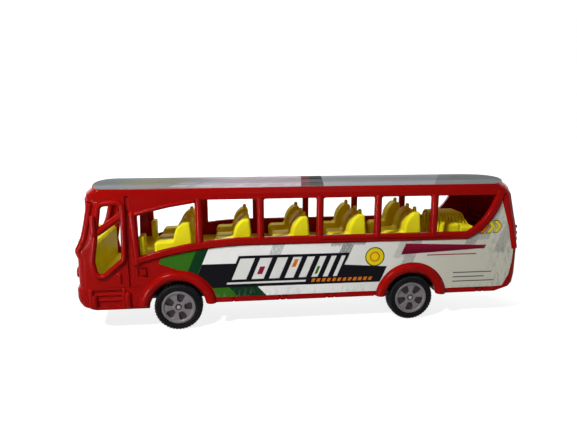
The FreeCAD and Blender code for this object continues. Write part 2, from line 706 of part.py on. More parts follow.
def screw_posts():
    """Posts for the chassis screws, each tied to the end wall by a web."""
    pieces = []
    for x, y, way in post_places():
        pieces.append(Part.makeCylinder(s.post_diameter / 2, s.post_height,
                                        Vector(x, y, chassis_top)))
        reach = s.post_setback - s.wall - s.fit_gap
        pieces.append(Part.makeBox(reach, s.post_web, s.post_height,
                                   Vector(x if way > 0 else x - reach, y - s.post_web / 2,
                                          chassis_top)))
    return pieces


def post_bores():
    depth = s.screw_length - s.chassis_plate
    return [Part.makeCylinder(s.screw_diameter / 2, depth, Vector(x, y, chassis_top))
            for x, y, way in post_places()]


def crown(grow):
    """A large cylinder along the bus whose top is the roof's crown."""
    half = half_width - s.roof_edge_round
    radius = (half ** 2 + s.roof_crown ** 2) / (2 * s.roof_crown)
    return Part.makeCylinder(radius + grow, 2 * s.bus_length,
                             Vector(-s.bus_length, 0, s.gutter_height + s.roof_crown - radius),
                             X_AXIS)


def roof_cap():
    """The crowned top, filled up from the roof's plan."""
    plan = Part.Face(level_wire(NOSE_TAIL_SHARES[-1])).extrude(Vector(0, 0, s.overrun))
    plan.translate(Vector(0, 0, -s.roof_wall))
    return plan.common(crown(0))


def wheel_arches():
    return [Part.makeCylinder(arch_radius, s.wall + 2 * s.overrun,
                              Vector(x, side * half_width - s.wall - s.overrun, axle_height),
                              Y_AXIS)
            for x in (front_axle_x, rear_axle_x) for side in SIDES]


def body_shell():
    """The red moulding, cut first and then built up one kind of detail at a time."""
    outer = Part.makeLoft([level_wire(shares) for shares in NOSE_TAIL_SHARES], True, True)
    under = Part.makeBox(s.bus_length, 2 * s.side_width, s.skirt_height,
                         Vector(front_axle_x, -s.side_width, 0))
    core = Part.makeLoft([level_wire(shares, s.tail_panel_depth) for shares in NOSE_TAIL_SHARES],
                         True, True)
    windscreen = end_window(-half_length, s.windscreen_width, s.windscreen_sill,
                            s.windscreen_corner)
    tail_panel = end_window(half_length, s.tail_panel_width, s.tail_panel_sill,
                            s.tail_panel_corner).cut(core)
    shell = outer.cut(hollow(0))
    for cutters in (window_cutters(), wheel_arches() + [under], on_both_sides(side_recesses),
                    [windscreen, tail_panel]):
        shell = shell.cut(cutters)
    for detail in (sill_band, flares, pillar_bars, side_beads, knobs):
        shell = shell.multiFuse(on_both_sides(detail))
    for pieces in (end_ribs(), lamp_bosses(), screw_posts(), [roof_cap()]):
        shell = shell.multiFuse(pieces)
    return shell.cut(post_bores())


# Printed films
STICKER_REAR_SHARES = ((0.750, 0.802), (0.850, 0.590), (0.878, 0.507), (0.872, 0.414),
                       (0.848, 0.323), (0.786, 0.236))
STICKER_LOW_SHARE = 0.232


def side_sticker(side):
    """A film on one side wall that keeps clear of the sill band, flares and tail pillar."""
    middle = s.band_drop / 2
    top = [(x, z - middle) for x, z in front_points(SILL_TOP_SHARES)]
    sweep = tail_arc(middle, s.header_height)
    rear = [(tail_x(x), up(z)) for x, z in STICKER_REAR_SHARES]
    low = up(STICKER_LOW_SHARE)
    tip = (front_x(TIP_SHARES[0]), up(TIP_SHARES[1]))
    over_wheel = (front_axle_x, axle_height + sticker_arch_radius + s.film_margin)
    border = [tip, (tip[0] + middle, tip[1] + s.band_drop), top[1], top[2], sweep[0],
              (sweep[1], sweep[2])]
    border += rear + [(rear[-1][0] - s.band_drop, low), (front_axle_x, low), over_wheel]
    y = -half_width if side < 0 else half_width + s.film
    film = Part.Face(outline(border, y)).extrude(Vector(0, -s.film, 0))
    around = [Part.makeCylinder(sticker_arch_radius, 2 * s.overrun,
                                Vector(x, y - s.overrun, axle_height), Y_AXIS)
              for x in (front_axle_x, rear_axle_x)]
    around.append(slab(outline(band_border(s.band_drop + s.film_margin), y - s.overrun),
                       2 * s.overrun))
    around.append(tail_pillar(side, s.tail_pillar_bar + 2 * s.film_margin))
    return film.cut(around)


def roof_sticker():
    """A film that follows the crown of the roof."""
    plan = Part.Face(level_wire(NOSE_TAIL_SHARES[-1], 2 * s.film_margin))
    return plan.extrude(Vector(0, 0, s.overrun)).common(crown(s.film)).cut(crown(0))


# Interior moulding. Seat outline: length share ahead of the seat's top, height share, and the
# corner's radius as a share of the height
SEAT_SHARES = ((-0.860, 0.000, 0.0), (-0.870, 0.345, 0.11), (-0.360, 0.350, 0.09),
               (-0.325, 0.690, 0.55), (-0.095, 0.890, 0.08), (0.095, 0.890, 0.08),
               (0.140, 0.420, 0.80), (0.140, 0.000, 0.0))
SEAT_NUB_FOOT_SHARE = 0.70
SEAT_ROWS = 5
APRON_SHARE = 0.560
RISER_SHARE = 0.446
PARTITION_SHARE = 0.530
SIDE_BOX_SHARES = ((0.26, 0.56, 0.78), (0.56, 0.88, 0.70))
TRAY_POST_SHARES = (0.25, 0.62)
TAIL_POST_SHARE = 0.715


def seat(height):
    """One seat about its own foot: cushion and back in one outline, with a nub on top."""
    corners = [(x * s.seat_length, z * height) for x, z, radius in SEAT_SHARES]
    radii = [radius * height for x, z, radius in SEAT_SHARES]
    block = slab(rounded(corners, radii, -s.seat_width / 2), s.seat_width)
    rims = [edge for edge in block.Edges
            if abs(edge.Vertexes[0].Y - edge.Vertexes[-1].Y) < s.film
            and edge.BoundBox.ZMax > s.film]
    block = block.makeFillet(s.seat_round, rims)
    nub = capsule(Vector(0, 0, height * SEAT_NUB_FOOT_SHARE),
                  Vector(0, 0, height - s.seat_nub / 2), s.seat_nub)
    return block.fuse(nub)


def seats():
    """Rows of a pair of seats on the door side and a single seat on the far side."""
    places = [-s.pair_offset - s.seat_pitch / 2, -s.pair_offset + s.seat_pitch / 2,
              s.single_offset]
    rows = []
    for row in range(SEAT_ROWS):
        pattern = seat(s.seat_height + row * s.seat_rise)
        x = pillars[0] + row * s.pillar_pitch - s.seat_lead
        rows += [pattern.translated(Vector(x, y, s.floor_height)) for y in places]
    return rows


def soft_box(low, size, radius):
    """A block whose upper and upright edges are rounded."""
    block = Part.makeBox(size.x, size.y, size.z, low)
    rims = [edge for edge in block.Edges
            if max(vertex.Z for vertex in edge.Vertexes) > low.z + size.z / 2]
    return block.makeFillet(radius, rims)


def engine_cover():
    """Ribbed cover over the motor, with a pair of stepped boxes on each side."""
    start = pillars[-1] + s.cover_lead
    low = s.floor_height - s.tray_wall / 2
    half = s.cover_width / 2
    pieces = [soft_box(Vector(start, -half, low),
                       Vector(s.cover_length, s.cover_width, s.cover_height), s.cover_round)]
    count = int((s.cover_length - 2 * s.cover_round) / s.cover_rib_pitch) + 1
    top = low + s.cover_height
    for n in range(count):
        x = start + s.cover_round + n * s.cover_rib_pitch
        hoop = rounded_path([Vector(x, -half, low), Vector(x, -half, top),
                             Vector(x, half, top), Vector(x, half, low)], s.cover_round)
        pieces.append(pipe(hoop, s.cover_rib))
    for begin, end, height in SIDE_BOX_SHARES:
        for side in SIDES:
            y = half - s.side_box_round if side > 0 else -half - s.side_box_width
            x = start + begin * s.cover_length
            box = Vector((end - begin) * s.cover_length + s.side_box_round / 2,
                         s.side_box_width + s.side_box_round, height * s.cover_height)
            pieces.append(soft_box(Vector(x, y, low), box, s.side_box_round))
    return pieces


def partitions():
    """A rounded screen on each side behind the door."""
    low = s.floor_height - s.tray_wall / 2
    panels = []
    for side in SIDES:
        y = tray_half - s.partition_width if side > 0 else -tray_half
        panels.append(soft_box(Vector(front_x(PARTITION_SHARE), y, low),
                               Vector(2 * s.tray_wall, s.partition_width, s.partition_height),
                               s.tray_wall * 2 / 3))
    return panels


def interior_tray():
    """Floor, step well, dashboard, seats, screens and engine cover in one moulding."""
    wall = s.tray_wall
    front = s.wall - half_length
    rear = front + s.dash_depth
    edge = rear - wall
    riser = front_x(RISER_SHARE)
    apron = front + 3 * wall
    border = [(-half_length, s.dash_height), (edge, s.dash_height), (rear, s.dash_height - wall),
              (rear, s.well_height), (riser, s.well_height), (riser, s.floor_height),
              (half_length, s.floor_height), (half_length, s.floor_height - wall),
              (riser + wall, s.floor_height - wall), (riser + wall, s.well_height - wall),
              (rear - wall, s.well_height - wall), (rear - wall, s.dash_height - 2 * wall),
              (edge - wall / 2, s.dash_height - wall), (apron, s.dash_height - wall),
              (apron, up(APRON_SHARE)), (-half_length, up(APRON_SHARE))]
    tray = slab(outline(border, -half_width), s.side_width).common(hollow(s.fit_gap))
    return tray.multiFuse(seats() + engine_cover() + partitions())


# Chassis
def tyre_inner():
    """Middle of the bus to the inner side of a tyre."""
    return s.wheel_face - s.tyre_width


def wheel_notches():
    """Room in the chassis for the four tyres."""
    reach = axle_height + s.wheel_gap
    start = tyre_inner() - s.lug_end_gap
    return [Part.makeBox(2 * reach, s.side_width, s.overrun + s.chassis_plate,
                         Vector(x - reach, start if side > 0 else -start - s.side_width,
                                s.chassis_height - s.overrun / 2))
            for x in (front_axle_x, rear_axle_x) for side in SIDES]


def axle_lugs():
    lugs = []
    outer = tyre_inner() - s.lug_end_gap
    half = s.lug_length / 2
    for x in (front_axle_x, rear_axle_x):
        for side in SIDES:
            y = outer - s.lug_width if side > 0 else -outer
            lugs.append(Part.makeBox(s.lug_length, s.lug_width, chassis_top - axle_height,
                                     Vector(x - half, y, axle_height)))
            lugs.append(Part.makeCylinder(half, s.lug_width, Vector(x, y, axle_height), Y_AXIS))
    return lugs


def tray_posts():
    """Posts that carry the cabin floor, in pairs: two between the axles, one at the tail."""
    rise = s.floor_height - s.tray_wall - s.chassis_height
    chassis_end = half_length - s.chassis_end_gap
    places = [between(front_axle_x, rear_axle_x, share) for share in TRAY_POST_SHARES]
    places.append(between(rear_axle_x, chassis_end, TAIL_POST_SHARE))
    return [Part.makeCylinder(s.tray_post / 2, rise,
                              Vector(x, side * s.tray_post_spread / 2, s.chassis_height))
            for x in places for side in SIDES]


def stand_pad():
    """A flat raised pad in the middle of the underside, for a display stand."""
    middle = (front_axle_x + rear_axle_x) / 2
    pad = Part.makeBox(s.pad_length, s.pad_width, s.pad_proud + s.chassis_plate / 2,
                       Vector(middle - s.pad_length / 2, -s.pad_width / 2,
                              s.chassis_height - s.pad_proud))
    upright = [edge for edge in pad.Edges
               if abs(edge.Vertexes[0].Z - edge.Vertexes[-1].Z) > s.pad_proud]
    return pad.makeFillet(s.pad_round, upright)


def axle_bore(x, radius):
    return Part.makeCylinder(radius, s.side_width, Vector(x, -half_width, axle_height), Y_AXIS)


def chassis():
    reach = half_length - s.chassis_end_gap
    plan = plan_wire(s.chassis_height, reach, reach, tray_half, 0.0, s.wall + s.fit_gap)
    plate = Part.Face(plan).extrude(Vector(0, 0, s.chassis_plate))
    plate = plate.cut(wheel_notches() + [motor_mouth()])
    plate = plate.multiFuse(axle_lugs() + tray_posts() + [stand_pad()])
    holes = [axle_bore(x, s.axle_diameter / 2 + s.axle_clearance)
             for x in (front_axle_x, rear_axle_x)]
    holes += [Part.makeCylinder(s.screw_diameter / 2 + s.screw_clearance, 2 * s.overrun,
                                Vector(x, y, s.chassis_height - s.overrun))
              for x, y in [place[:2] for place in post_places()] + motor_screw_places()]
    return plate.cut(holes)


def screw(x, y):
    """A pan-head screw that points up, with its head under the chassis and a cross in it."""
    head = Part.makeCylinder(s.screw_head / 2, s.screw_head_height,
                             Vector(x, y, s.chassis_height - s.screw_head_height))
    rim = [edge for edge in head.Edges
           if edge.BoundBox.ZMax < s.chassis_height - s.screw_head_height / 2]
    head = head.makeFillet(s.screw_head_height / 3, rim)
    shank = Part.makeCylinder(s.screw_diameter / 2, s.screw_length,
                              Vector(x, y, s.chassis_height))
    slots = []
    for length, width in ((s.screw_head * 2 / 3, s.screw_slot), (s.screw_slot, s.screw_head * 2 / 3)):
        slots.append(Part.makeBox(length, width, s.screw_slot,
                                  Vector(x - length / 2, y - width / 2,
                                         s.chassis_height - s.screw_head_height)))
    return head.fuse(shank).cut(slots)


# Friction motor: stages across the bus, counted from the case's near inner wall
centre_distance = s.gear_module * (s.wheel_teeth + s.pinion_teeth) / 2
motor_inner_width = 2 * s.gear_width + s.flywheel_width + 4 * s.side_play
motor_half = motor_inner_width / 2 + s.case_wall
stage_one = -motor_inner_width / 2 + s.side_play
stage_two = stage_one + s.gear_width + s.side_play
stage_three = stage_two + s.gear_width + s.side_play
idler_turn = math.radians(s.idler_angle)
flywheel_turn = math.radians(s.flywheel_angle)
idler_x = rear_axle_x + centre_distance * math.cos(idler_turn)
idler_z = axle_height + centre_distance * math.sin(idler_turn)
flywheel_x = idler_x + centre_distance * math.cos(flywheel_turn)
flywheel_z = idler_z + centre_distance * math.sin(flywheel_turn)
ADDENDUM_SHARE, DEDENDUM_SHARE = 0.65, 0.95
PRESSURE_ANGLE = math.radians(20)


def gear(teeth, turn, x, z, y, width):
    """A spur gear about Y with a tooth at an angle from +X towards +Z."""
    pitch = s.gear_module * teeth / 2
    base = pitch * math.cos(PRESSURE_ANGLE)
    tip = pitch + ADDENDUM_SHARE * s.gear_module
    root = pitch - DEDENDUM_SHARE * s.gear_module
    half_pitch = (math.pi * s.gear_module / 2 - s.gear_backlash / 2) / 2 / pitch
    flank = half_pitch + math.tan(PRESSURE_ANGLE) - PRESSURE_ANGLE

    def half_angle(radius):
        slope = math.acos(min(1.0, base / radius))
        return flank - (math.tan(slope) - slope)

    low = max(base, root)
    radii = [low, between(low, tip, 1 / 3), between(low, tip, 2 / 3), tip]
    points = []
    for n in range(int(teeth)):
        middle = turn + 2 * math.pi * n / teeth
        rising = [(radius, middle - half_angle(radius)) for radius in radii]
        falling = [(radius, middle + half_angle(radius)) for radius in reversed(radii)]
        points += [(root, rising[0][1])] + rising + falling + [(root, falling[-1][1])]
    places = [Vector(x + radius * math.cos(angle), y, z + radius * math.sin(angle))
              for radius, angle in points]
    face = Part.Face(Part.makePolygon(places + places[:1]))
    return face.extrude(Vector(0, width, 0))


def bored(shape, x, z, diameter):
    return shape.cut(Part.makeCylinder(diameter / 2, s.side_width, Vector(x, -half_width, z),
                                       Y_AXIS))


def axle_gear():
    blank = gear(s.wheel_teeth, idler_turn, rear_axle_x, axle_height, stage_one, s.gear_width)
    return bored(blank, rear_axle_x, axle_height, s.axle_diameter)


def idler_gear():
    """Pinion and wheel in one piece: the pinion meshes with the axle gear."""
    gap = idler_turn + math.pi + math.pi / s.pinion_teeth
    pinion = gear(s.pinion_teeth, gap, idler_x, idler_z, stage_one, s.gear_width + s.side_play)
    wheel = gear(s.wheel_teeth, flywheel_turn, idler_x, idler_z, stage_two, s.gear_width)
    return bored(pinion.fuse(wheel), idler_x, idler_z, s.shaft_diameter)


def flywheel_pinion():
    gap = flywheel_turn + math.pi + math.pi / s.pinion_teeth
    pinion = gear(s.pinion_teeth, gap, flywheel_x, flywheel_z, stage_two,
                  s.gear_width + s.side_play)
    return bored(pinion, flywheel_x, flywheel_z, s.shaft_diameter)


def belt(first, first_radius, second, second_radius, half):
    """The solid inside a belt round two pulleys on axes along Y."""
    span = math.hypot(second[0] - first[0], second[1] - first[1])
    heading = math.atan2(second[1] - first[1], second[0] - first[0])
    lean = math.acos((first_radius - second_radius) / span)

    def on(centre, radius, angle):
        return Vector(centre[0] + radius * math.cos(angle), -half,
                      centre[1] + radius * math.sin(angle))

    upper, lower = heading + lean, heading - lean
    wire = Part.Wire([
        Part.LineSegment(on(first, first_radius, upper),
                         on(second, second_radius, upper)).toShape(),
        Part.Arc(on(second, second_radius, upper), on(second, second_radius, heading),
                 on(second, second_radius, lower)).toShape(),
        Part.LineSegment(on(second, second_radius, lower),
                         on(first, first_radius, lower)).toShape(),
        Part.Arc(on(first, first_radius, lower), on(first, first_radius, heading + math.pi),
                 on(first, first_radius, upper)).toShape(),
    ])
    return Part.Face(wire).extrude(Vector(0, 2 * half, 0))


def case_body(grow, half):
    """The space round the motor's gears and flywheel, grown all round."""
    wheel = s.gear_module * (s.wheel_teeth / 2 + ADDENDUM_SHARE) + s.case_gap + grow
    flywheel_room = s.flywheel_diameter / 2 + s.case_gap + grow
    axle, idler = (rear_axle_x, axle_height), (idler_x, idler_z)
    first = belt(axle, wheel, idler, wheel, half)
    second = belt(idler, wheel, (flywheel_x, flywheel_z), flywheel_room, half)
    return first.fuse(second)


def ear_span():
    """Front end, front seat, rear seat and rear end of the motor's ears."""
    front = rear_axle_x - s.gear_module * s.wheel_teeth / 2 - s.case_gap - s.case_wall
    rear = flywheel_x + s.flywheel_diameter / 2 + s.case_gap + s.case_wall
    return front - s.case_ear, front, rear, rear + s.case_ear


def motor_mouth():
    """Opening in the chassis through which the motor case hangs."""
    front_end, front, rear, rear_end = ear_span()
    half = motor_half + s.fit_gap
    return Part.makeBox(rear - front, 2 * half, s.chassis_plate + s.overrun,
                        Vector(front, -half, s.chassis_height - s.overrun / 2))


def motor_screw_places():
    front_end, front, rear, rear_end = ear_span()
    return [(x, side * motor_half / 2)
            for x in ((front_end + front) / 2, (rear + rear_end) / 2) for side in SIDES]


def motor_case(side):
    """One half of the motor case, with an ear at each end that lies on the chassis."""
    front_end, front, rear, rear_end = ear_span()
    case = case_body(s.case_wall, motor_half)
    embed = s.flywheel_diameter / 2
    ears = [Part.makeBox(s.case_ear + embed, 2 * motor_half, s.case_wall,
                         Vector(front_end, -motor_half, chassis_top)),
            Part.makeBox(s.case_ear + embed, 2 * motor_half, s.case_wall,
                         Vector(rear - embed, -motor_half, chassis_top))]
    case = case.multiFuse(ears).cut(case_body(0, motor_inner_width / 2))
    keep = Part.makeBox(s.bus_length, s.side_width, s.gutter_height,
                        Vector(-half_length, 0 if side > 0 else -s.side_width, 0))
    case = case.common(keep)
    shaft = s.shaft_diameter / 2 + s.axle_clearance
    holes = [axle_bore(rear_axle_x, s.axle_diameter / 2 + s.axle_clearance)]
    holes += [Part.makeCylinder(shaft, s.side_width, Vector(x, -half_width, z), Y_AXIS)
              for x, z in ((idler_x, idler_z), (flywheel_x, flywheel_z))]
    holes += [Part.makeCylinder(s.screw_diameter / 2, s.overrun, Vector(x, y, chassis_top))
              for x, y in motor_screw_places()]
    return case.cut(holes)


def motor_screw(x, y):
    """A short version of the chassis screw that ends in an ear of the motor case."""
    long_screw = screw(x, y)
    cut = Part.makeBox(s.screw_head, s.screw_head, s.screw_length,
                       Vector(x - s.screw_head / 2, y - s.screw_head / 2,
                              chassis_top + s.case_wall))
    return long_screw.cut(cut)


# Wheels: each hub and tyre is drawn with its inner side on the XY plane and its face upwards
def axle_x_formula(end):
    front = "Sizes.front_axle_setback - Sizes.bus_length / 2"
    return front if end == "front" else front + " + Sizes.wheelbase"


def place_wheel(body, end, side):
    """Turns a wheel part so that its face points outwards and puts it on its axle."""
    turn = s.front_hub_turn if end == "front" else s.rear_hub_turn
    outwards = Rotation(X_AXIS, 90 if side < 0 else -90)
    body.Placement = Placement(Vector(), Rotation(Y_AXIS, -turn) * outwards)
    sign = "-" if side < 0 else ""
    body.setExpression("Placement.Base.x", axle_x_formula(end))
    body.setExpression("Placement.Base.y", sign + "(Sizes.wheel_face - Sizes.tyre_width)")
    body.setExpression("Placement.Base.z", "Sizes.tyre_diameter / 2")


def origin_plane(body, role):
    return [item for item in body.Origin.OriginFeatures if item.Role == role][0]


def sized_sketch(body, name, plane, corners):
    """A closed sketch whose every corner is bound to a pair of formulas on the sheet."""
    sketch = body.newObject("Sketcher::SketchObject", name)
    sketch.AttachmentSupport = (origin_plane(body, plane), [""])
    sketch.MapMode = "FlatFace"
    values = [[float(sketch.evalExpression(formula)) for formula in corner]
              for corner in corners]
    places = [Vector(x, y, 0) for x, y in values]
    count = len(places)
    for n, place in enumerate(places):
        sketch.addGeometry(Part.LineSegment(place, places[(n + 1) % count]), False)
    for n in range(count):
        sketch.addConstraint(Sketcher.Constraint("Coincident", n, 2, (n + 1) % count, 1))
    for n, (corner, value) in enumerate(zip(corners, values)):
        for kind, formula, length in zip(("DistanceX", "DistanceY"), corner, value):
            index = sketch.addConstraint(
                Sketcher.Constraint(kind, -1, 1, n, 1, length))
            sketch.setExpression("Constraints[%d]" % index, formula)
    return sketch


def turned_body(name, corners):
    """A body turned from a half section, its radius along X and its height along Z."""
    body = doc.addObject("PartDesign::Body", name)
    body.Label = name
    section = sized_sketch(body, name + "_section", "XZ_Plane", corners)
    turned = body.newObject("PartDesign::Revolution", name + "_turned")
    turned.Profile = section
    turned.ReferenceAxis = (section, ["V_Axis"])
    turned.Angle = 360
    return body, turned


def patterned_pocket(body, name, sketch, depth_formula, count_formula):
    """Cuts a sketch on the XY plane upwards, or right through, and repeats it round Z."""
    pocket = body.newObject("PartDesign::Pocket", name + "_pocket")
    pocket.Profile = sketch
    pocket.Reversed = True
    pocket.setExpression("Length", depth_formula)
    pattern = body.newObject("PartDesign::PolarPattern", name + "_pattern")
    pattern.Originals = [pocket]
    pattern.Axis = (sketch, ["N_Axis"])
    pattern.Angle = 360
    pattern.setExpression("Occurrences", count_formula)
    body.Tip = pattern
    return pattern


def tyre(end, side):
    name = "%s_tyre_%s" % (end, "near" if side < 0 else "far")
    seat_radius, outer = "Sizes.hub_diameter / 2", "Sizes.tyre_diameter / 2"
    shoulder, width = "Sizes.tyre_shoulder", "Sizes.tyre_width"
    body, turned = turned_body(name, (
        (seat_radius, "0"), (outer + " - 2 * " + shoulder, "0"),
        (outer + " - " + shoulder, shoulder + " / 3"),
        (outer, shoulder + " * 4 / 3"), (outer, width + " - " + shoulder + " * 4 / 3"),
        (outer + " - " + shoulder, width + " - " + shoulder + " / 3"),
        (outer + " - 2 * " + shoulder, width), (seat_radius, width)))
    half = "Sizes.tread_notch / 2"
    low = "Sizes.tyre_diameter / 2 - Sizes.tread_depth"
    high = "Sizes.tyre_diameter / 2 + Sizes.overrun"
    notch = sized_sketch(body, name + "_notch", "XY_Plane",
                         ((low, "-" + half), (high, "-" + half), (high, half), (low, half)))
    notch.setExpression("AttachmentOffset.Base.z", width + " - Sizes.tread_notch_reach")
    doc.recompute()
    patterned_pocket(body, name, notch, "Sizes.tread_notch_reach", "Sizes.tread_count")
    place_wheel(body, end, side)
    nodes.append(body)


def hub(end, side):
    name = "%s_hub_%s" % (end, "near" if side < 0 else "far")
    bore, boss = "Sizes.axle_diameter / 2", "Sizes.hub_boss / 2"
    outer, ring = "Sizes.hub_diameter / 2", "Sizes.hub_recess / 2"
    inner = "Sizes.hub_diameter / 2 - Sizes.hub_rim"
    top = "Sizes.tyre_width - Sizes.hub_dish"
    rim = "Sizes.tyre_width - Sizes.hub_dish / 3"
    body, turned = turned_body(name, (
        (bore, "0"), (boss, "0"), (boss, top + " - Sizes.hub_plate"),
        (inner, top + " - Sizes.hub_plate"), (inner, "0"), (outer, "0"), (outer, rim),
        (inner, rim), (inner + " - Sizes.hub_dish / 3", top), (ring, top),
        (ring, top + " - Sizes.hub_recess_depth"), (bore, top + " - Sizes.hub_recess_depth")))
    hole = body.newObject("Sketcher::SketchObject", name + "_hole")
    hole.AttachmentSupport = (origin_plane(body, "XY_Plane"), [""])
    hole.MapMode = "FlatFace"
    hole.setExpression("AttachmentOffset.Base.z", top + " - Sizes.hub_hole_depth")
    narrow, wide = s.hub_hole_narrow / 2, s.hub_hole_wide / 2
    ring_wire = rounded(((s.hub_hole_inner, -narrow), (s.hub_hole_inner, narrow),
                         (s.hub_hole_outer, wide), (s.hub_hole_outer, -wide)),
                        s.hub_hole_corner, 0)
    for edge in ring_wire.Edges:
        ends = [Vector(v.X, v.Z, 0) for v in (edge.firstVertex(), edge.lastVertex())]
        if isinstance(edge.Curve, Part.Line):
            hole.addGeometry(Part.LineSegment(*ends), False)
        else:
            middle = edge.valueAt((edge.FirstParameter + edge.LastParameter) / 2)
            hole.addGeometry(Part.Arc(ends[0], Vector(middle.x, middle.z, 0), ends[1]), False)
    doc.recompute()
    patterned_pocket(body, name, hole, "Sizes.tyre_width + Sizes.overrun",
                     "Sizes.hub_hole_count")
    place_wheel(body, end, side)
    nodes.append(body)


def shaft(name, diameter, length_formula, x, z):
    """A plain round shaft across the bus."""
    pin = doc.addObject("Part::Cylinder", name)
    pin.Label = name
    pin.setExpression("Radius", "Sizes.%s / 2" % diameter)
    pin.setExpression("Height", length_formula)
    pin.Placement = Placement(Vector(x, 0, z), Rotation(X_AXIS, 90))
    pin.setExpression("Placement.Base.y", "Height / 2")
    nodes.append(pin)
    return pin


def flywheel():
    """A turned disc with a bore for its shaft."""
    disc = doc.addObject("Part::Cylinder", "flywheel_disc")
    bore = doc.addObject("Part::Cylinder", "flywheel_bore")
    for piece, diameter in ((disc, "flywheel_diameter"), (bore, "shaft_diameter")):
        piece.setExpression("Radius", "Sizes.%s / 2" % diameter)
        piece.setExpression("Height", "Sizes.flywheel_width")
        piece.Placement = Placement(Vector(flywheel_x, stage_three + s.flywheel_width,
                                           flywheel_z), Rotation(X_AXIS, 90))
    wheel = doc.addObject("Part::Cut", "flywheel")
    wheel.Label = "flywheel"
    wheel.Base = disc
    wheel.Tool = bore
    nodes.append(wheel)


def build():
    node("body_shell", body_shell())
    node("roof_sticker", roof_sticker())
    node("side_sticker_near", side_sticker(-1))
    node("side_sticker_far", side_sticker(1))
    node("interior_tray", interior_tray())
    node("chassis", chassis())
    node("chassis_screws", Part.makeCompound([screw(x, y) for x, y, way in post_places()]))
    node("motor_case_near", motor_case(-1))
    node("motor_case_far", motor_case(1))
    node("motor_screws", Part.makeCompound([motor_screw(x, y)
                                            for x, y in motor_screw_places()]))
    node("axle_gear", axle_gear())
    node("idler_gear", idler_gear())
    node("flywheel_pinion", flywheel_pinion())
    axle_length = "2 * (Sizes.wheel_face - Sizes.hub_dish - Sizes.axle_end)"
    shaft("front_axle", "axle_diameter", axle_length, front_axle_x, axle_height)
    shaft("rear_axle", "axle_diameter", axle_length, rear_axle_x, axle_height)
    shaft_length = "2 * Sizes.gear_width + Sizes.flywheel_width + 4 * Sizes.side_play"
    shaft_length += " + 1.6 * Sizes.case_wall"
    shaft("idler_shaft", "shaft_diameter", shaft_length, idler_x, idler_z)
    shaft("flywheel_shaft", "shaft_diameter", shaft_length, flywheel_x, flywheel_z)
    flywheel()
    for end in ("front", "rear"):
        for side in SIDES:
            hub(end, side)
            tyre(end, side)
    doc.recompute()


def check():
    """Stops on a failed object or a shape that isn't sound."""
    for item in doc.Objects:
        if {"Invalid", "Error"} & set(item.State):
            raise RuntimeError("%s failed: %s" % (item.Label, item.State))
    for item in nodes:
        if item.Shape.isNull() or not item.Shape.isValid():
            raise RuntimeError("%s has no sound shape" % item.Label)


def export():
    os.makedirs("parts", exist_ok=True)
    for item in nodes:
        item.Shape.exportStep("parts/%s.step" % item.Label)
        box = item.Shape.BoundBox
        print("%-20s solids %2d  volume %9.1f  x %7.1f %7.1f  y %6.1f %6.1f  z %5.1f %5.1f" % (
            item.Label, len(item.Shape.Solids), item.Shape.Volume, box.XMin, box.XMax,
            box.YMin, box.YMax, box.ZMin, box.ZMax))


build()
check()
export()
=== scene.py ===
"""Toy coach: smooth mouldings, printed films, treaded wheels, finishes and a studio."""

import math

import bmesh
import bpy
from bpy.props import FloatProperty, FloatVectorProperty, IntProperty, PointerProperty
from mathutils import Matrix, Vector
from mathutils.bvhtree import BVHTree


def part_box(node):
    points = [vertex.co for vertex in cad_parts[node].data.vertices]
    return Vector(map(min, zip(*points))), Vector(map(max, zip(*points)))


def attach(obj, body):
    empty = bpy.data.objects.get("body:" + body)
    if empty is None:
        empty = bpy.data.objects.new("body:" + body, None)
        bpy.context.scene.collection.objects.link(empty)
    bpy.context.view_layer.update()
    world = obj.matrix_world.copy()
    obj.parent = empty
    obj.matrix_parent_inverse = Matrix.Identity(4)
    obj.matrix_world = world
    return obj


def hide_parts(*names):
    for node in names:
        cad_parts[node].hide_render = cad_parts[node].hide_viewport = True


bl_info = {
    "name": "Toy Coach",
    "version": (1, 0, 0),
    "blender": (4, 5, 0),
    "location": "3D View > Sidebar > Toy Coach",
    "description": "Dresses the packed toy coach and sets up its studio",
    "category": "Object",
}

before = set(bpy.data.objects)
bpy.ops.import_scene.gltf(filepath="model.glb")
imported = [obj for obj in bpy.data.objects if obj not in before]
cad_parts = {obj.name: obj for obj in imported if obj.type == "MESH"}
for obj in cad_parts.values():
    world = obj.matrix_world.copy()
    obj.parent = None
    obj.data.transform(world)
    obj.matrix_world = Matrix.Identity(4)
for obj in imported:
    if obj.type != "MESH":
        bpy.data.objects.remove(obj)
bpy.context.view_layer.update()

MM = 0.001
SIDES = {"near": -1, "far": 1}
ENDS = ("front", "rear")


# Sizes and colours that a user would change
def colour_property(name, words, default):
    """A colour that the panel shows."""
    return FloatVectorProperty(name=name, description=words, subtype="COLOR", size=3,
                               min=0.0, max=1.0, default=default)


def length_property(name, words, millimetres):
    """A length that is given here in millimetres."""
    return FloatProperty(name=name, description=words, unit="LENGTH", subtype="DISTANCE",
                         default=millimetres * MM)


def power_property(name, words, watts):
    """The power of a lamp."""
    return FloatProperty(name=name, description=words, unit="POWER", default=watts)


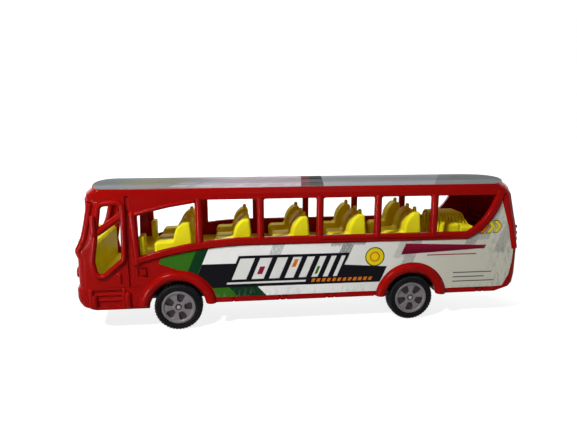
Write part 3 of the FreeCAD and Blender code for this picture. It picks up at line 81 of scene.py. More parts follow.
class CoachColours(bpy.types.PropertyGroup):
    """Colours of the mouldings and the prints, linear."""

    shell: colour_property("Shell", "Red of the body moulding", (0.30, 0.0018, 0.0010))
    shell_deep: colour_property("Shell, deep", "Red where the plastic is thick",
                                (0.235, 0.0010, 0.0007))
    seats: colour_property("Interior", "Yellow of the interior moulding", (0.78, 0.75, 0.018))
    seats_deep: colour_property("Interior, deep", "Yellow where the plastic is thick",
                                (0.68, 0.54, 0.009))
    film: colour_property("Film", "Pale ground of the side print", (0.76, 0.76, 0.74))
    # A cream ground toward the tail, darker than the pale ground, that also paints the shade of
    # the light falling off there
    film_cream_and_shade: colour_property("Film cream", "Ground of the side print at the tail",
                                (0.56, 0.546, 0.453))
    film_grey: colour_property("Film grey", "Mid grey of the side print", (0.25, 0.25, 0.245))
    leaf: colour_property("Leaf green", "Bright green of the side print", (0.028, 0.125, 0.007))
    bottle: colour_property("Bottle green", "Dark green of the side print",
                            (0.002, 0.030, 0.008))
    ink: colour_property("Ink", "Black of the side print", (0.0042, 0.0038, 0.0060))
    chalk: colour_property("Chalk", "White of the side print", (0.70, 0.70, 0.67))
    sun: colour_property("Sun yellow", "Yellow of the side print", (0.74, 0.58, 0.008))
    amber: colour_property("Amber", "Orange of the side print", (0.60, 0.16, 0.008))
    wine: colour_property("Wine", "Crimson of the side print", (0.24, 0.006, 0.030))
    roof_front: colour_property("Roof front", "Grey green of the roof print",
                                (0.170, 0.182, 0.186))
    roof_middle: colour_property("Roof middle", "Rose grey of the roof print",
                                 (0.47, 0.43, 0.47))
    roof_rear: colour_property("Roof rear", "Cool grey of the roof print",
                               (0.280, 0.286, 0.302))
    roof_dark: colour_property("Roof dark", "Dark block of the roof print",
                               (0.030, 0.032, 0.024))
    roof_rose: colour_property("Roof rose", "Rose bars of the roof print", (0.40, 0.17, 0.22))
    roof_pale: colour_property("Roof pale", "Pale bars of the roof print", (0.66, 0.64, 0.66))
    roof_lines: colour_property("Roof lines", "Red lines on the roof's dark block",
                                (0.28, 0.02, 0.05))
    hub: colour_property("Hub", "Silver grey of the hubs", (0.160, 0.142, 0.150))
    hub_flake: colour_property("Hub flake", "Silver flakes in the hubs", (0.30, 0.28, 0.30))
    hub_hole: colour_property("Hub hole", "Shade inside the holes of a hub",
                              (0.030, 0.021, 0.024))
    tyre: colour_property("Tyre", "Black of the tyres", (0.0038, 0.0035, 0.0044))
    tyre_dust: colour_property("Tyre dust", "Bloom on the tyres", (0.016, 0.015, 0.015))
    # Paler colour for the highlight painted on the edges of the tread notches
    tyre_edge_highlight: colour_property("Tyre edge", "Highlight painted on the edges of the tread", (0.050, 0.046, 0.048))
    chassis: colour_property("Chassis", "Black of the chassis", (0.016, 0.016, 0.018))
    casing: colour_property("Motor case", "Off-white of the motor case", (0.62, 0.60, 0.55))
    gears: colour_property("Gears", "Natural white of the gears", (0.70, 0.68, 0.60))
    steel: colour_property("Steel", "Drawn steel", (0.22, 0.215, 0.215))


class CoachSizes(bpy.types.PropertyGroup):
    """Sizes of what is added to the CAD model."""

    edge_round: length_property("Edge rounding", "Rounding of a moulding's edges", 0.22)
    fine_round: length_property("Fine rounding", "Rounding of a small part's edges", 0.12)
    tread_depth: length_property("Tread depth", "Depth of the tread notches", 0.40)
    groove_depth: length_property("Groove depth", "Depth of the grooves round a tyre", 0.6)
    tread_count: IntProperty(name="Tread count", description="Notches round a tyre",
                             default=44, min=12, max=90)


class StudioSettings(bpy.types.PropertyGroup):
    """Camera and lamps."""

    camera_place: FloatVectorProperty(name="Camera place", description="Where the camera stands",
                                      subtype="TRANSLATION", unit="LENGTH",
                                      default=(-0.04669, -0.32305, 0.12865))
    camera_turn: FloatVectorProperty(name="Camera turn", description="How the camera is turned",
                                     subtype="EULER", unit="ROTATION",
                                     default=(math.radians(79.03), 0.0, math.radians(-6.647)))
    lens: FloatProperty(name="Lens", description="Focal length on a 36 mm frame", unit="CAMERA",
                        default=30.06, min=10.0, max=200.0)
    key_power: power_property("Key", "Power of the main lamp", 6.1)
    fill_power: power_property("Fill", "Power of the fill lamps", 0.55)
    back_power: power_property("Back", "Power of the lamps behind and beside the tail", 3.4)
    gloss_power: power_property("Gloss", "Power of the low lamp that only highlights show", 0.9)
    cabin_power: power_property("Cabin", "Power of the red light that the thin roof lets in",
                                0.006)
    sky: FloatProperty(name="Sky", description="Strength of the light all round", default=0.085)
    floor_glow: FloatProperty(name="Floor glow", default=0.83, subtype="FACTOR",
                              description="White added to the floor that the camera sees")


# Shader arithmetic
class Wire:
    """A socket that takes part in arithmetic: each operator adds one Math node."""

    def __init__(self, graph, socket):
        self.graph = graph
        self.socket = socket

    def maths(self, operation, *values):
        """A Math node with these values in its sockets."""
        return self.graph.node("ShaderNodeMath", {"operation": operation},
                               dict(enumerate(values)))

    def __add__(self, other):
        return self.maths("ADD", self, other)

    def __radd__(self, other):
        return self.maths("ADD", other, self)

    def __sub__(self, other):
        return self.maths("SUBTRACT", self, other)

    def __rsub__(self, other):
        return self.maths("SUBTRACT", other, self)

    def __mul__(self, other):
        return self.maths("MULTIPLY", self, other)

    def __rmul__(self, other):
        return self.maths("MULTIPLY", other, self)

    def __truediv__(self, other):
        return self.maths("DIVIDE", self, other)

    def __rtruediv__(self, other):
        return self.maths("DIVIDE", other, self)

    def __abs__(self):
        return self.maths("ABSOLUTE", self)

    def larger(self, other):
        return self.maths("MAXIMUM", self, other)

    def smaller(self, other):
        return self.maths("MINIMUM", self, other)

    def whole(self):
        return self.maths("FLOOR", self)

    def root(self):
        return self.maths("SQRT", self)

    def ramp(self, low, high):
        """0 below low, 1 above high and an even rise between."""
        limits = {"Value": self, "From Min": low, "From Max": high}
        return self.graph.node("ShaderNodeMapRange", {"clamp": True}, limits)


SEEN_RAYS = ("Is Camera Ray", "Is Transmission Ray", "Is Glossy Ray")


class Graph:
    """A node tree whose nodes all come from one method."""

    def __init__(self, tree):
        self.tree = tree

    def node(self, kind, settings=None, inputs=None, output=0):
        """Adds a node, sets it, feeds its sockets and hands back one of its outputs."""
        made = self.tree.nodes.new(kind)
        for word, value in (settings or {}).items():
            setattr(made, word, value)
        for word, value in (inputs or {}).items():
            self.feed(made.inputs[word], value)
        return Wire(self, made.outputs[output])

    def feed(self, socket, value):
        """Links a wire to a socket, or sets a number or a colour on it."""
        if isinstance(value, Wire):
            self.tree.links.new(value.socket, socket)
        elif hasattr(socket.default_value, "__len__") and len(value) < len(socket.default_value):
            socket.default_value = (*value, 1.0)
        else:
            socket.default_value = value

    def seen(self):
        """1 for what the camera sees, also in a mirror or through glass, and 0 for light."""
        direct, through, mirrored = [self.node("ShaderNodeLightPath", output=ray)
                                     for ray in SEEN_RAYS]
        return direct.larger(through).larger(mirrored)


class Finish(Graph):
    """A material, the nodes behind it, and the places in millimetres that they read."""

    def __init__(self, name, **plain):
        self.material = bpy.data.materials.new(name)
        self.material.use_nodes = True
        super().__init__(self.material.node_tree)
        self.surface = self.tree.nodes["Principled BSDF"]
        for word, value in plain.items():
            self.set(word.replace("_", " ").title().replace("Ior", "IOR"), value)
        self.place = self.node("ShaderNodeTexCoord", output="Object")
        self.x, self.y, self.z = [self.axis(name) / MM for name in "XYZ"]

    def set(self, name, value):
        """Feeds a socket of the surface shader."""
        self.feed(self.surface.inputs[name], value)

    def axis(self, name):
        """One coordinate of the place, in metres."""
        return self.node("ShaderNodeSeparateXYZ", inputs={"Vector": self.place}, output=name)

    def noise(self, scale, detail=2.0, roughness=0.5, stretch=(1.0, 1.0, 1.0)):
        """Noise from 0 to 1 whose patches are about scale millimetres wide."""
        place = self.node("ShaderNodeMapping", inputs={"Vector": self.place, "Scale": stretch})
        values = {"Vector": place, "Scale": 1.0 / (scale * MM), "Detail": detail,
                  "Roughness": roughness}
        return self.node("ShaderNodeTexNoise", inputs=values)

    def chance(self, value):
        """A random number from 0 to 1 that stays the same for equal values."""
        return self.node("ShaderNodeTexWhiteNoise", {"noise_dimensions": "1D"}, {"W": value})

    def blend(self, share, under, over):
        """A colour between two others."""
        return self.node("ShaderNodeMix", {"data_type": "RGBA"}, {0: share, 6: under, 7: over}, 2)

    def paint(self, ground, shape, colour):
        """A ground with a colour inside a printed shape."""
        return self.blend(inside(shape), ground, colour)

    def bump(self, height, depth):
        """Raises the surface by a height from 0 to 1 times a depth in millimetres."""
        values = {"Height": height, "Distance": depth * MM, "Strength": 1.0}
        self.set("Normal", self.node("ShaderNodeBump", inputs=values))


PRINT_BLUR = 0.10


def inside(distance, blur=PRINT_BLUR):
    """1 inside a printed shape and 0 outside, from the distance to its edge in millimetres."""
    return distance.ramp(blur, -blur)


def strip(value, low, high):
    """Distance to a strip between two values, negative inside."""
    return (low - value).larger(value - high)


def from_centre(across, along):
    """Distance to a centre, from the distances to it along two axes."""
    return (across * across + along * along).root()


def repeated(value, pitch):
    """How far a value lies within its own repeat of a pattern."""
    count = value / pitch
    return (count - count.whole()) * pitch


def shaded(colour, share):
    """A share of a colour: darker below 1 and lighter above."""
    return [value * share for value in colour]


# Mouldings in one colour
SCUFF_WHITE, SCUFF_TINT = 0.30, 0.6


def moulded_plastic(name, colour, deep, roughness, gloss=0.35, peel=0.01):
    """Injection moulded plastic: slow changes of depth, fine orange peel and a few scuffs."""
    finish = Finish(name, specular_ior_level=gloss)
    flow = finish.noise(38.0, detail=3.0, roughness=0.55, stretch=(0.45, 1.0, 1.0))
    cloud = finish.noise(9.0)
    scuff = finish.noise(0.5, detail=3.0, roughness=0.7, stretch=(0.08, 1.0, 1.0))
    scuff = scuff.ramp(0.70, 0.78)
    depth = flow * 0.7 + cloud * 0.3
    base = finish.blend(depth.ramp(0.25, 0.60), deep, colour)
    lightened = [SCUFF_WHITE + SCUFF_TINT * value for value in colour]
    finish.set("Base Color", finish.blend(scuff * 0.12, base, lightened))
    finish.set("Roughness", (cloud * 0.06 + roughness - 0.03) + scuff * 0.12)
    finish.bump(finish.noise(5.0, detail=1.0), peel)
    return finish


def red_plastic(colours):
    return moulded_plastic("red_moulding", colours.shell, colours.shell_deep, 0.18, gloss=0.04)


def yellow_plastic(colours):
    return moulded_plastic("yellow_moulding", colours.seats, colours.seats_deep, 0.40, gloss=0.01)


def black_plastic(colours):
    return moulded_plastic("black_moulding", shaded(colours.chassis, 2.2), colours.chassis, 0.46,
                           peel=0.03)


def case_plastic(colours):
    return moulded_plastic("motor_case_moulding", colours.casing, shaded(colours.casing, 0.8),
                           0.42)


def gear_plastic(colours):
    return moulded_plastic("gear_moulding", colours.gears, shaded(colours.gears, 0.85), 0.35)


# How far behind a hub's face the shade in its holes starts and ends
HOLE_START, HOLE_END = 0.55, 2.4


def hub_plastic(colours, face):
    """Grey plastic with fine silver flakes, dark in the holes behind its outer face."""
    finish = Finish("hub_moulding", metallic=0.1, specular_ior_level=0.25)
    flake = finish.noise(0.22, detail=1.0).ramp(0.52, 0.75)
    cloud = finish.noise(5.0, detail=3.0)
    shade = finish.blend(cloud.ramp(0.3, 0.7), shaded(colours.hub, 0.84), colours.hub)
    silver = finish.blend(flake * 0.30, shade, colours.hub_flake)
    hole = strip(face - abs(finish.y), HOLE_START, HOLE_END)
    finish.set("Base Color", finish.paint(silver, hole, colours.hub_hole))
    finish.set("Roughness", 0.36 - flake * 0.12 + cloud * 0.08)
    finish.bump(finish.noise(0.5), 0.015)
    return finish


# Attribute that is 1 on the edges of a tyre's tread, where a highlight is painted
TREAD_HIGHLIGHT = "wear"


def tyre_rubber(colours):
    """Soft black rubber with a dusty bloom and a painted highlight on the edges of its tread."""
    finish = Finish("tyre_rubber", specular_ior_level=0.05)
    dust = finish.noise(2.6, detail=4.0, roughness=0.6).ramp(0.45, 0.75)
    bloom = finish.blend(dust * 0.20, colours.tyre, colours.tyre_dust)
    # Painted highlight: a paler colour on the edges of the tread notches, broken up by the dust
    lightened = finish.node("ShaderNodeAttribute", {"attribute_name": TREAD_HIGHLIGHT}, output="Fac")
    painted_edge_highlight = lightened * dust.ramp(-0.6, 1.0)
    finish.set("Base Color", finish.blend(painted_edge_highlight, bloom, colours.tyre_edge_highlight))
    finish.set("Roughness", 0.48 + dust * 0.18)
    finish.bump(finish.noise(0.35, detail=3.0), 0.03)
    return finish


def drawn_steel(colours):
    """Bright steel with fine marks round its length."""
    finish = Finish("drawn_steel", metallic=1.0)
    marks = finish.noise(0.9, detail=3.0, roughness=0.6, stretch=(1.0, 6.0, 1.0))
    stain = finish.noise(4.0, detail=3.0).ramp(0.5, 0.8)
    dull = shaded(colours.steel, 0.55)
    finish.set("Base Color", finish.blend(stain * 0.5, colours.steel, dull))
    finish.set("Roughness", 0.22 + marks * 0.16 + stain * 0.15)
    finish.bump(marks, 0.01)
    return finish


# Film on the sides: all places are in millimetres, and a lean is X less a share of the height
SLANT = 0.42
# Where the ground turns to a darker cream: a cream tint and painted shade of the light falling
# off toward the tail
CREAM_SHADE_START, CREAM_SHADE_END = 10.0, 95.0

PANEL_PITCH = 7.5
PANEL_FOOT, PANEL_FOOT_RANGE = 55.0, 24.0
PANEL_BLUR = 0.6
SHOWN_SEED, STRENGTH_SEED = 31.0, 77.0

WEDGE_START, WEDGE_FOLD, WEDGE_END = -140.0, -91.5, -84.5
WEDGE_SLOPE, WEDGE_HEIGHT = 0.9, 27.5
LOW_WEDGE, LOW_WEDGE_DARK = (-42.0, -20.0), (-26.0, -8.0)

BAND_FOOT, BAND_TOP, BAND_END = 27.0, 42.5, 36.0
BAND_TAPER_START, BAND_TAPER_LENGTH, BAND_TAPER = -20.0, 70.0, 5.0

BAR_WIDTHS = (9.0, 7.6, 6.6, 5.6, 4.8, 4.0, 3.2, 2.6)
BAR_GAP, BARS_START = 3.4, -62.0
BARS_LIFT, BARS_RISE, BAR_OUTLINE = 5.0, 3.0, 1.8
ACCENT_BARS, ACCENT_FEET = (1, 3, 5), (35.0, 39.0, 34.0)
ACCENT_HEIGHT, ACCENT_SHARE = 5.0, 0.22

LINE_LOW, LINE_HIGH, LINE_SPAN = 2.0, 3.2, (-64.0, -14.0)
DASH_PITCH, DASH_GAP_SHARE = 3.4, 0.62
DASH_LOW, DASH_HIGH, DASH_SPAN = 1.6, 3.8, (-11.0, 30.0)

RING_X, RING_Z, RING_RADIUS = 43.5, 44.0, 6.4
RING_EDGE, RING_INNER, RING_CENTRE = 0.7, 3.0, 4.0

STRIPE_Z, STRIPE_HALF, STRIPE_THIN, STRIPE_SPAN = 48.6, 3.7, 2.4, (42.0, 98.0)
TAPER_START, TAPER_LENGTH = 62.0, 52.0
SHINE_START, SHINE_HEIGHT, SHINE_SHADE = 46.0, 6.0, 0.45
UNDER_LINE, UNDER_SPAN = (43.6, 44.3), (60.0, 94.0)

CHEVRON_COUNT, CHEVRON_X, CHEVRON_Z, CHEVRON_PITCH = 3, 118.6, 62.0, 4.6
CHEVRON_SLOPE, CHEVRON_HALF, CHEVRON_SHRINK = 0.8, 4.4, 0.3
CHEVRON_BACK, CHEVRON_FRONT, CHEVRON_OUTLINE = -1.5, 1.2, 0.5
PIN_LINES = ((25.0, 126.0), (28.0, 119.0), (31.0, 124.0))
PIN_START, PIN_WIDTH, PIN_STRENGTH = 97.0, 0.7, 0.85

MOTTLE_START, MOTTLE_LENGTH, MOTTLE_STRENGTH = 114.0, 16.0, 0.5
MOTTLE_FOOT, MOTTLE_DROP, FOOT_STRENGTH = 27.0, 7.0, 0.6


def slanted_panels(finish, lean, colours, ground):
    """Leaning grey panels of random height that fade into the pale ground."""
    column = (lean / PANEL_PITCH).whole()
    foot = PANEL_FOOT - finish.chance(column) * PANEL_FOOT_RANGE
    shown = finish.chance(column + SHOWN_SEED).ramp(0.50, 0.54)
    rim = inside(foot - finish.z + finish.noise(2.0, detail=3.0) * 2.0, PANEL_BLUR)
    speckle = finish.noise(1.1, detail=4.0, roughness=0.7).ramp(0.33, 0.47)
    strength = finish.chance(column + STRENGTH_SEED) * 0.50 + 0.50
    return finish.blend(shown * rim * speckle * strength, ground, colours.film_grey)


def green_wedges(finish, lean, colours, ground):
    """A green wedge behind the door and one at its foot, each with a dark fold."""
    rise = finish.x + finish.z * WEDGE_SLOPE
    folds = ((colours.leaf, WEDGE_START, LOW_WEDGE), (colours.bottle, WEDGE_FOLD, LOW_WEDGE_DARK))
    for colour, start, low_wedge in folds:
        foot = strip(rise, *low_wedge).larger(finish.z - WEDGE_HEIGHT)
        ground = finish.paint(ground, strip(lean, start, WEDGE_END).smaller(foot), colour)
    return ground


def speed_bars(finish, lean, colours, ground):
    """White bars, wide in front and narrow behind, with black outlines and small accents."""
    start = BARS_START
    bars, middles = None, []
    for width in BAR_WIDTHS:
        bar = strip(lean, start, start + width)
        bars = bar if bars is None else bars.smaller(bar)
        middles.append(start + width / 2)
        start += width + BAR_GAP
    bars = bars.larger(strip(finish.z, BAND_FOOT + BARS_LIFT, BAND_TOP + BARS_RISE))
    ground = finish.paint(ground, bars - BAR_OUTLINE, colours.ink)
    ground = finish.paint(ground, bars, colours.chalk)
    accents = (colours.wine, colours.amber, colours.leaf)
    for n, colour, foot in zip(ACCENT_BARS, accents, ACCENT_FEET):
        half = BAR_WIDTHS[n] * ACCENT_SHARE
        accent = strip(lean, middles[n] - half, middles[n] + half)
        accent = accent.larger(strip(finish.z, foot, foot + ACCENT_HEIGHT))
        ground = finish.paint(ground, accent, colour)
    return ground


def black_band(finish, lean, colours, ground):
    """The black band with its bars, a white line and a row of orange dashes."""
    x, z = finish.x, finish.z
    top = BAND_TOP - (x - BAND_TAPER_START).ramp(0.0, BAND_TAPER_LENGTH) * BAND_TAPER
    band = (BAND_FOOT - z).larger(z - top).larger(strip(lean, WEDGE_END, BAND_END))
    ground = finish.paint(ground, band, colours.ink)
    ground = speed_bars(finish, lean, colours, ground)
    line = strip(z, BAND_FOOT + LINE_LOW, BAND_FOOT + LINE_HIGH)
    ground = finish.paint(ground, line.larger(strip(lean, *LINE_SPAN)), colours.chalk)
    dashes = repeated(lean, DASH_PITCH) - DASH_PITCH * DASH_GAP_SHARE
    dashes = dashes.larger(strip(z, BAND_FOOT + DASH_LOW, BAND_FOOT + DASH_HIGH))
    return finish.paint(ground, dashes.larger(strip(lean, *DASH_SPAN)), colours.amber)


def ring_mark(finish, colours, ground):
    """A yellow disc with an orange ring and a dark edge."""
    ring = from_centre(finish.x - RING_X, finish.z - RING_Z) - RING_RADIUS
    ground = finish.paint(ground, ring, colours.bottle)
    ground = finish.paint(ground, ring + RING_EDGE, colours.sun)
    ground = finish.paint(ground, ring + RING_INNER, colours.amber)
    return finish.paint(ground, ring + RING_CENTRE, colours.sun)


def tail_marks(finish, lean, colours, ground):
    """A tapered crimson stripe over a thin line, three chevrons and three pin lines."""
    x, z = finish.x, finish.z
    taper = (x - TAPER_START).ramp(0.0, TAPER_LENGTH)
    stripe = abs(z - STRIPE_Z) - (STRIPE_HALF - taper * STRIPE_THIN)
    shine = (z - SHINE_START).ramp(0.0, SHINE_HEIGHT)
    wine = finish.blend(shine, shaded(colours.wine, SHINE_SHADE), colours.wine)
    ground = finish.paint(ground, stripe.larger(strip(lean, *STRIPE_SPAN)), wine)
    under = strip(z, *UNDER_LINE).larger(strip(lean, *UNDER_SPAN))
    ground = finish.paint(ground, under, colours.wine)
    height = abs(z - CHEVRON_Z)
    for n in range(CHEVRON_COUNT):
        tip = x + height * CHEVRON_SLOPE - (CHEVRON_X + n * CHEVRON_PITCH)
        chevron = strip(tip, CHEVRON_BACK, CHEVRON_FRONT)
        chevron = chevron.larger(height - (CHEVRON_HALF - n * CHEVRON_SHRINK))
        ground = finish.paint(ground, chevron - CHEVRON_OUTLINE, colours.ink)
        ground = finish.paint(ground, chevron, colours.sun if n else colours.amber)
    for low, end in PIN_LINES:
        pin = strip(z, low, low + PIN_WIDTH).larger(strip(x, PIN_START, end))
        ground = finish.blend(inside(pin) * PIN_STRENGTH, ground, colours.ink)
    return ground


def side_print(colours):
    """Pale film that turns darker and cream toward the tail, as painted shade, with leaning
    panels, green wedges, a black band with bars, and pinstripes.
    """
    finish = Finish("side_film_print", specular_ior_level=0.04)
    x, z = finish.x, finish.z
    lean = x - z * SLANT
    cloud = finish.noise(30.0, detail=3.0).ramp(0.3, 0.7)
    ground = finish.blend(cloud, colours.film, shaded(colours.film, 1.12))
    # Painted shade: the ground turns darker and cream toward the tail, where the light falls off
    ground = finish.blend(x.ramp(CREAM_SHADE_START, CREAM_SHADE_END), ground, colours.film_cream_and_shade)
    ground = slanted_panels(finish, lean, colours, ground)
    ground = green_wedges(finish, lean, colours, ground)
    ground = black_band(finish, lean, colours, ground)
    ground = ring_mark(finish, colours, ground)
    ground = tail_marks(finish, lean, colours, ground)
    mottle = finish.noise(2.2, detail=5.0, roughness=0.75, stretch=(1.0, 1.0, 0.35))
    ends = (x - MOTTLE_START).ramp(0.0, MOTTLE_LENGTH)
    ends = ends.larger((MOTTLE_FOOT - z).ramp(0.0, MOTTLE_DROP) * FOOT_STRENGTH)
    ground = finish.blend(mottle.ramp(0.50, 0.58) * ends * MOTTLE_STRENGTH, ground,
                          colours.film_grey)
    lightened = finish.noise(0.7, detail=5.0, roughness=0.75).ramp(0.66, 0.74)
    finish.set("Base Color", finish.blend(lightened * 0.35, ground, colours.chalk))
    finish.set("Roughness", 0.36 + finish.noise(6.0, detail=3.0) * 0.16)
    finish.bump(finish.noise(14.0) * 0.8 + finish.noise(1.2) * 0.2, 0.06)
    return finish


# Film on the roof: places in millimetres, with two ways in which its edges lean
ROOF_LEAN, ROOF_SKEW = 0.5, 0.14
FRONT_FADE_START, FRONT_FADE = -84.0, 36.0
BLOCK_START, BLOCK_END, TAIL_START, CRISP = -0.5, 14.0, 96.0, 0.6
SWEEP_Y, SWEEP_HALF, SWEEP_WANDER, SWEEP_BLUR = -6.0, 9.0, 4.0, 3.0
PATCH_X, PATCH_Y, PATCH_RADIUS, PATCH_BLUR = -96.0, -4.0, 20.0, 8.0
TILE_LENGTH, TILE_WIDTH, TILE_BLUR = 15.0, 9.0, 0.3
TILE_X, TILE_Y = (2.0, 12.5), (1.0, 6.5)
ROSE_SPAN, PALE_SPAN = (-45.0, 4.0), (-75.0, -45.0)
PALE_START, PALE_FADE = -34.0, 30.0
RED_LINE_PITCH, RED_LINE_WIDTH, RED_LINE_END = 4.0, 1.4, 5.0


def roof_ground(finish, colours):
    """Grey green in front, rose grey behind it, cool grey over the rear and grey green last."""
    x, y = finish.x, finish.y
    lean, across = x - y * ROOF_LEAN, x - y * ROOF_SKEW
    ground = finish.blend((x - FRONT_FADE_START).ramp(0.0, FRONT_FADE), colours.roof_front,
                          colours.roof_middle)
    ground = finish.blend((across - BLOCK_END).ramp(0.0, CRISP), ground, colours.roof_rear)
    ground = finish.blend((lean - TAIL_START).ramp(0.0, CRISP), ground, colours.roof_front)
    wander = finish.noise(20.0) * SWEEP_WANDER
    sweep = inside(abs(y - SWEEP_Y) - SWEEP_HALF - wander, SWEEP_BLUR)
    patch = inside(from_centre(y - PATCH_Y, x - PATCH_X) - PATCH_RADIUS, PATCH_BLUR)
    ground = finish.blend(sweep * 0.35, ground, colours.roof_dark)
    return finish.blend(patch * 0.09, ground, colours.sun)


def roof_bars(finish, colours, ground):
    """Rows of rose and pale bars, and a dark block with red lines behind them."""
    x, y = finish.x, finish.y
    lean, across = x - y * ROOF_LEAN, x - y * ROOF_SKEW
    part, row = repeated(lean, TILE_LENGTH), repeated(y, TILE_WIDTH)
    bars = inside(strip(part, *TILE_X).larger(strip(row, *TILE_Y)), TILE_BLUR)
    rose = inside(strip(lean, *ROSE_SPAN)) * bars
    pale = inside(strip(lean, *PALE_SPAN)) * bars * (y - PALE_START).ramp(PALE_FADE, 0.0)
    ground = finish.blend(rose * 0.40, ground, colours.roof_rose)
    ground = finish.blend(pale * 0.45, ground, colours.roof_pale)
    ground = finish.paint(ground, strip(across, BLOCK_START, BLOCK_END), colours.roof_dark)
    lines = repeated(y, RED_LINE_PITCH) - RED_LINE_WIDTH
    lines = lines.larger(strip(across, BLOCK_START, RED_LINE_END))
    return finish.paint(ground, lines, colours.roof_lines)


def roof_print(colours):
    """Grey film that runs from grey green to rose grey, with leaning bars and a dark block."""
    finish = Finish("roof_film_print", specular_ior_level=0.0)
    ground = roof_bars(finish, colours, roof_ground(finish, colours))
    streak = finish.noise(3.0, detail=3.0, roughness=0.6, stretch=(0.06, 1.0, 1.0))
    ground = finish.blend(streak.ramp(0.42, 0.62) * 0.35, ground, colours.roof_rear)
    haze = finish.noise(12.0, detail=4.0, roughness=0.6, stretch=(0.35, 1.0, 1.0))
    finish.set("Base Color", finish.blend(haze.ramp(0.35, 0.75) * 0.07, ground, colours.film))
    finish.set("Roughness", 0.30 + finish.noise(9.0, detail=3.0) * 0.18)
    finish.bump(finish.noise(22.0), 0.10)
    return finish


# Pieces made from a CAD node
WELD = 0.002 * MM
SHARP_TURN = 34.0


def welded(node):
    """A bmesh of a CAD node with its loose triangles joined."""
    work = bmesh.new()
    work.from_mesh(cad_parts[node].data)
    bmesh.ops.remove_doubles(work, verts=work.verts, dist=WELD)
    bmesh.ops.dissolve_degenerate(work, edges=work.edges, dist=WELD)
    return work


def finished(work, name, finish, sharp=SHARP_TURN):
    """Turns a bmesh into a smooth-shaded object with crisp edges."""
    mesh = bpy.data.meshes.new(name)
    work.to_mesh(mesh)
    work.free()
    mesh.shade_smooth()
    mesh.set_sharp_from_angle(angle=math.radians(sharp))
    mesh.materials.append(finish.material)
    piece = bpy.data.objects.new(name, mesh)
    bpy.context.scene.collection.objects.link(piece)
    return piece


def round_edges(work, width):
    """Rounds the sharp edges, and draws corners that stray back to the surface."""
    surface = BVHTree.FromBMesh(work)
    turn = math.radians(SHARP_TURN)
    sharp = [edge for edge in work.edges if edge.calc_face_angle(0.0) > turn]
    bmesh.ops.bevel(work, geom=sharp, offset=width, offset_type="OFFSET", affect="EDGES",
                    segments=2, profile=0.5, material=-1, clamp_overlap=False,
                    loop_slide=False)
    for vert in work.verts:
        place, _, _, distance = surface.find_nearest(vert.co)
        if distance > width:
            vert.co = place


def even_shading(piece):
    """Shades flat faces flat and lets only their rounded edges bend the light."""
    even = piece.modifiers.new("even_shading", "WEIGHTED_NORMAL")
    even.keep_sharp = True


def stand_in(piece, node, body):
    """Shows a piece in place of its CAD node, on the same body."""
    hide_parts(node)
    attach(piece, body)


def dressed(node, finish):
    """Gives a CAD node whose shape is right a finish of its own."""
    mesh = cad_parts[node].data
    mesh.materials.clear()
    mesh.materials.append(finish.material)


def moulding(node, body, finish, width):
    """A smooth copy of a CAD node with rounded edges, shown in its place."""
    work = welded(node)
    round_edges(work, width)
    piece = finished(work, node + "_piece", finish)
    even_shading(piece)
    stand_in(piece, node, body)


# Forms that are modelled here, in millimetres
def turned(profile, steps):
    """A bmesh turned about the Y axis from a closed list of (radius, y) places."""
    work = bmesh.new()
    places = [work.verts.new((radius * MM, y * MM, 0.0)) for radius, y in profile]
    rim = [work.edges.new(pair) for pair in zip(places, places[1:] + places[:1])]
    bmesh.ops.spin(work, geom=places + rim, axis=(0.0, 1.0, 0.0), cent=(0.0, 0.0, 0.0),
                   angle=math.tau, steps=steps, use_merge=True, use_duplicate=False)
    bmesh.ops.remove_doubles(work, verts=work.verts, dist=WELD)
    bmesh.ops.recalc_face_normals(work, faces=work.faces)
    return work


BAR_ARC = 8


def round_bar(start, end, radius):
    """A bmesh of a bar with round ends between two places."""
    way = Vector(end) - Vector(start)
    arc = [math.pi / 2 * n / BAR_ARC for n in range(BAR_ARC + 1)]
    profile = [(radius * math.sin(turn), -radius * math.cos(turn)) for turn in arc]
    profile += [(r, way.length - y) for r, y in reversed(profile)]
    work = turned(profile, 3 * BAR_ARC)
    turn = Vector((0.0, 1.0, 0.0)).rotation_difference(way).to_matrix()
    bmesh.ops.rotate(work, cent=(0.0, 0.0, 0.0), matrix=turn, verts=work.verts)
    bmesh.ops.translate(work, vec=Vector(start) * MM, verts=work.verts)
    return work


RAIL_RING = 20
RAIL_STEPS = 24


def rail(place, curve, reach, size, lean=0.0):
    """A bmesh of a rail of oval section that follows a curve from side to side."""
    x, height = place
    half = math.asin(reach / abs(curve))
    middle = Vector((x + curve, 0.0, 0.0)) * MM
    work = bmesh.new()
    bmesh.ops.create_circle(work, cap_ends=True, segments=RAIL_RING, radius=MM)
    bmesh.ops.scale(work, vec=(size[0], size[1], 1.0), verts=work.verts)
    for turn, axis in ((lean, "Z"), (math.pi / 2, "X")):
        bmesh.ops.rotate(work, cent=(0.0, 0.0, 0.0), verts=work.verts,
                         matrix=Matrix.Rotation(turn, 3, axis))
    bmesh.ops.translate(work, vec=Vector((x, 0.0, height)) * MM, verts=work.verts)
    bmesh.ops.rotate(work, cent=middle, verts=work.verts,
                     matrix=Matrix.Rotation(-half, 3, "Z"))
    bmesh.ops.spin(work, geom=work.verts[:] + work.edges[:] + work.faces[:], angle=2 * half,
                   axis=(0.0, 0.0, 1.0), cent=middle, steps=RAIL_STEPS, use_duplicate=False)
    bmesh.ops.recalc_face_normals(work, faces=work.faces)
    return work


def added(work, name, finish):
    """Puts a small form on the body, beside what the CAD model has."""
    piece = finished(work, name, finish)
    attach(piece, "bus_body")


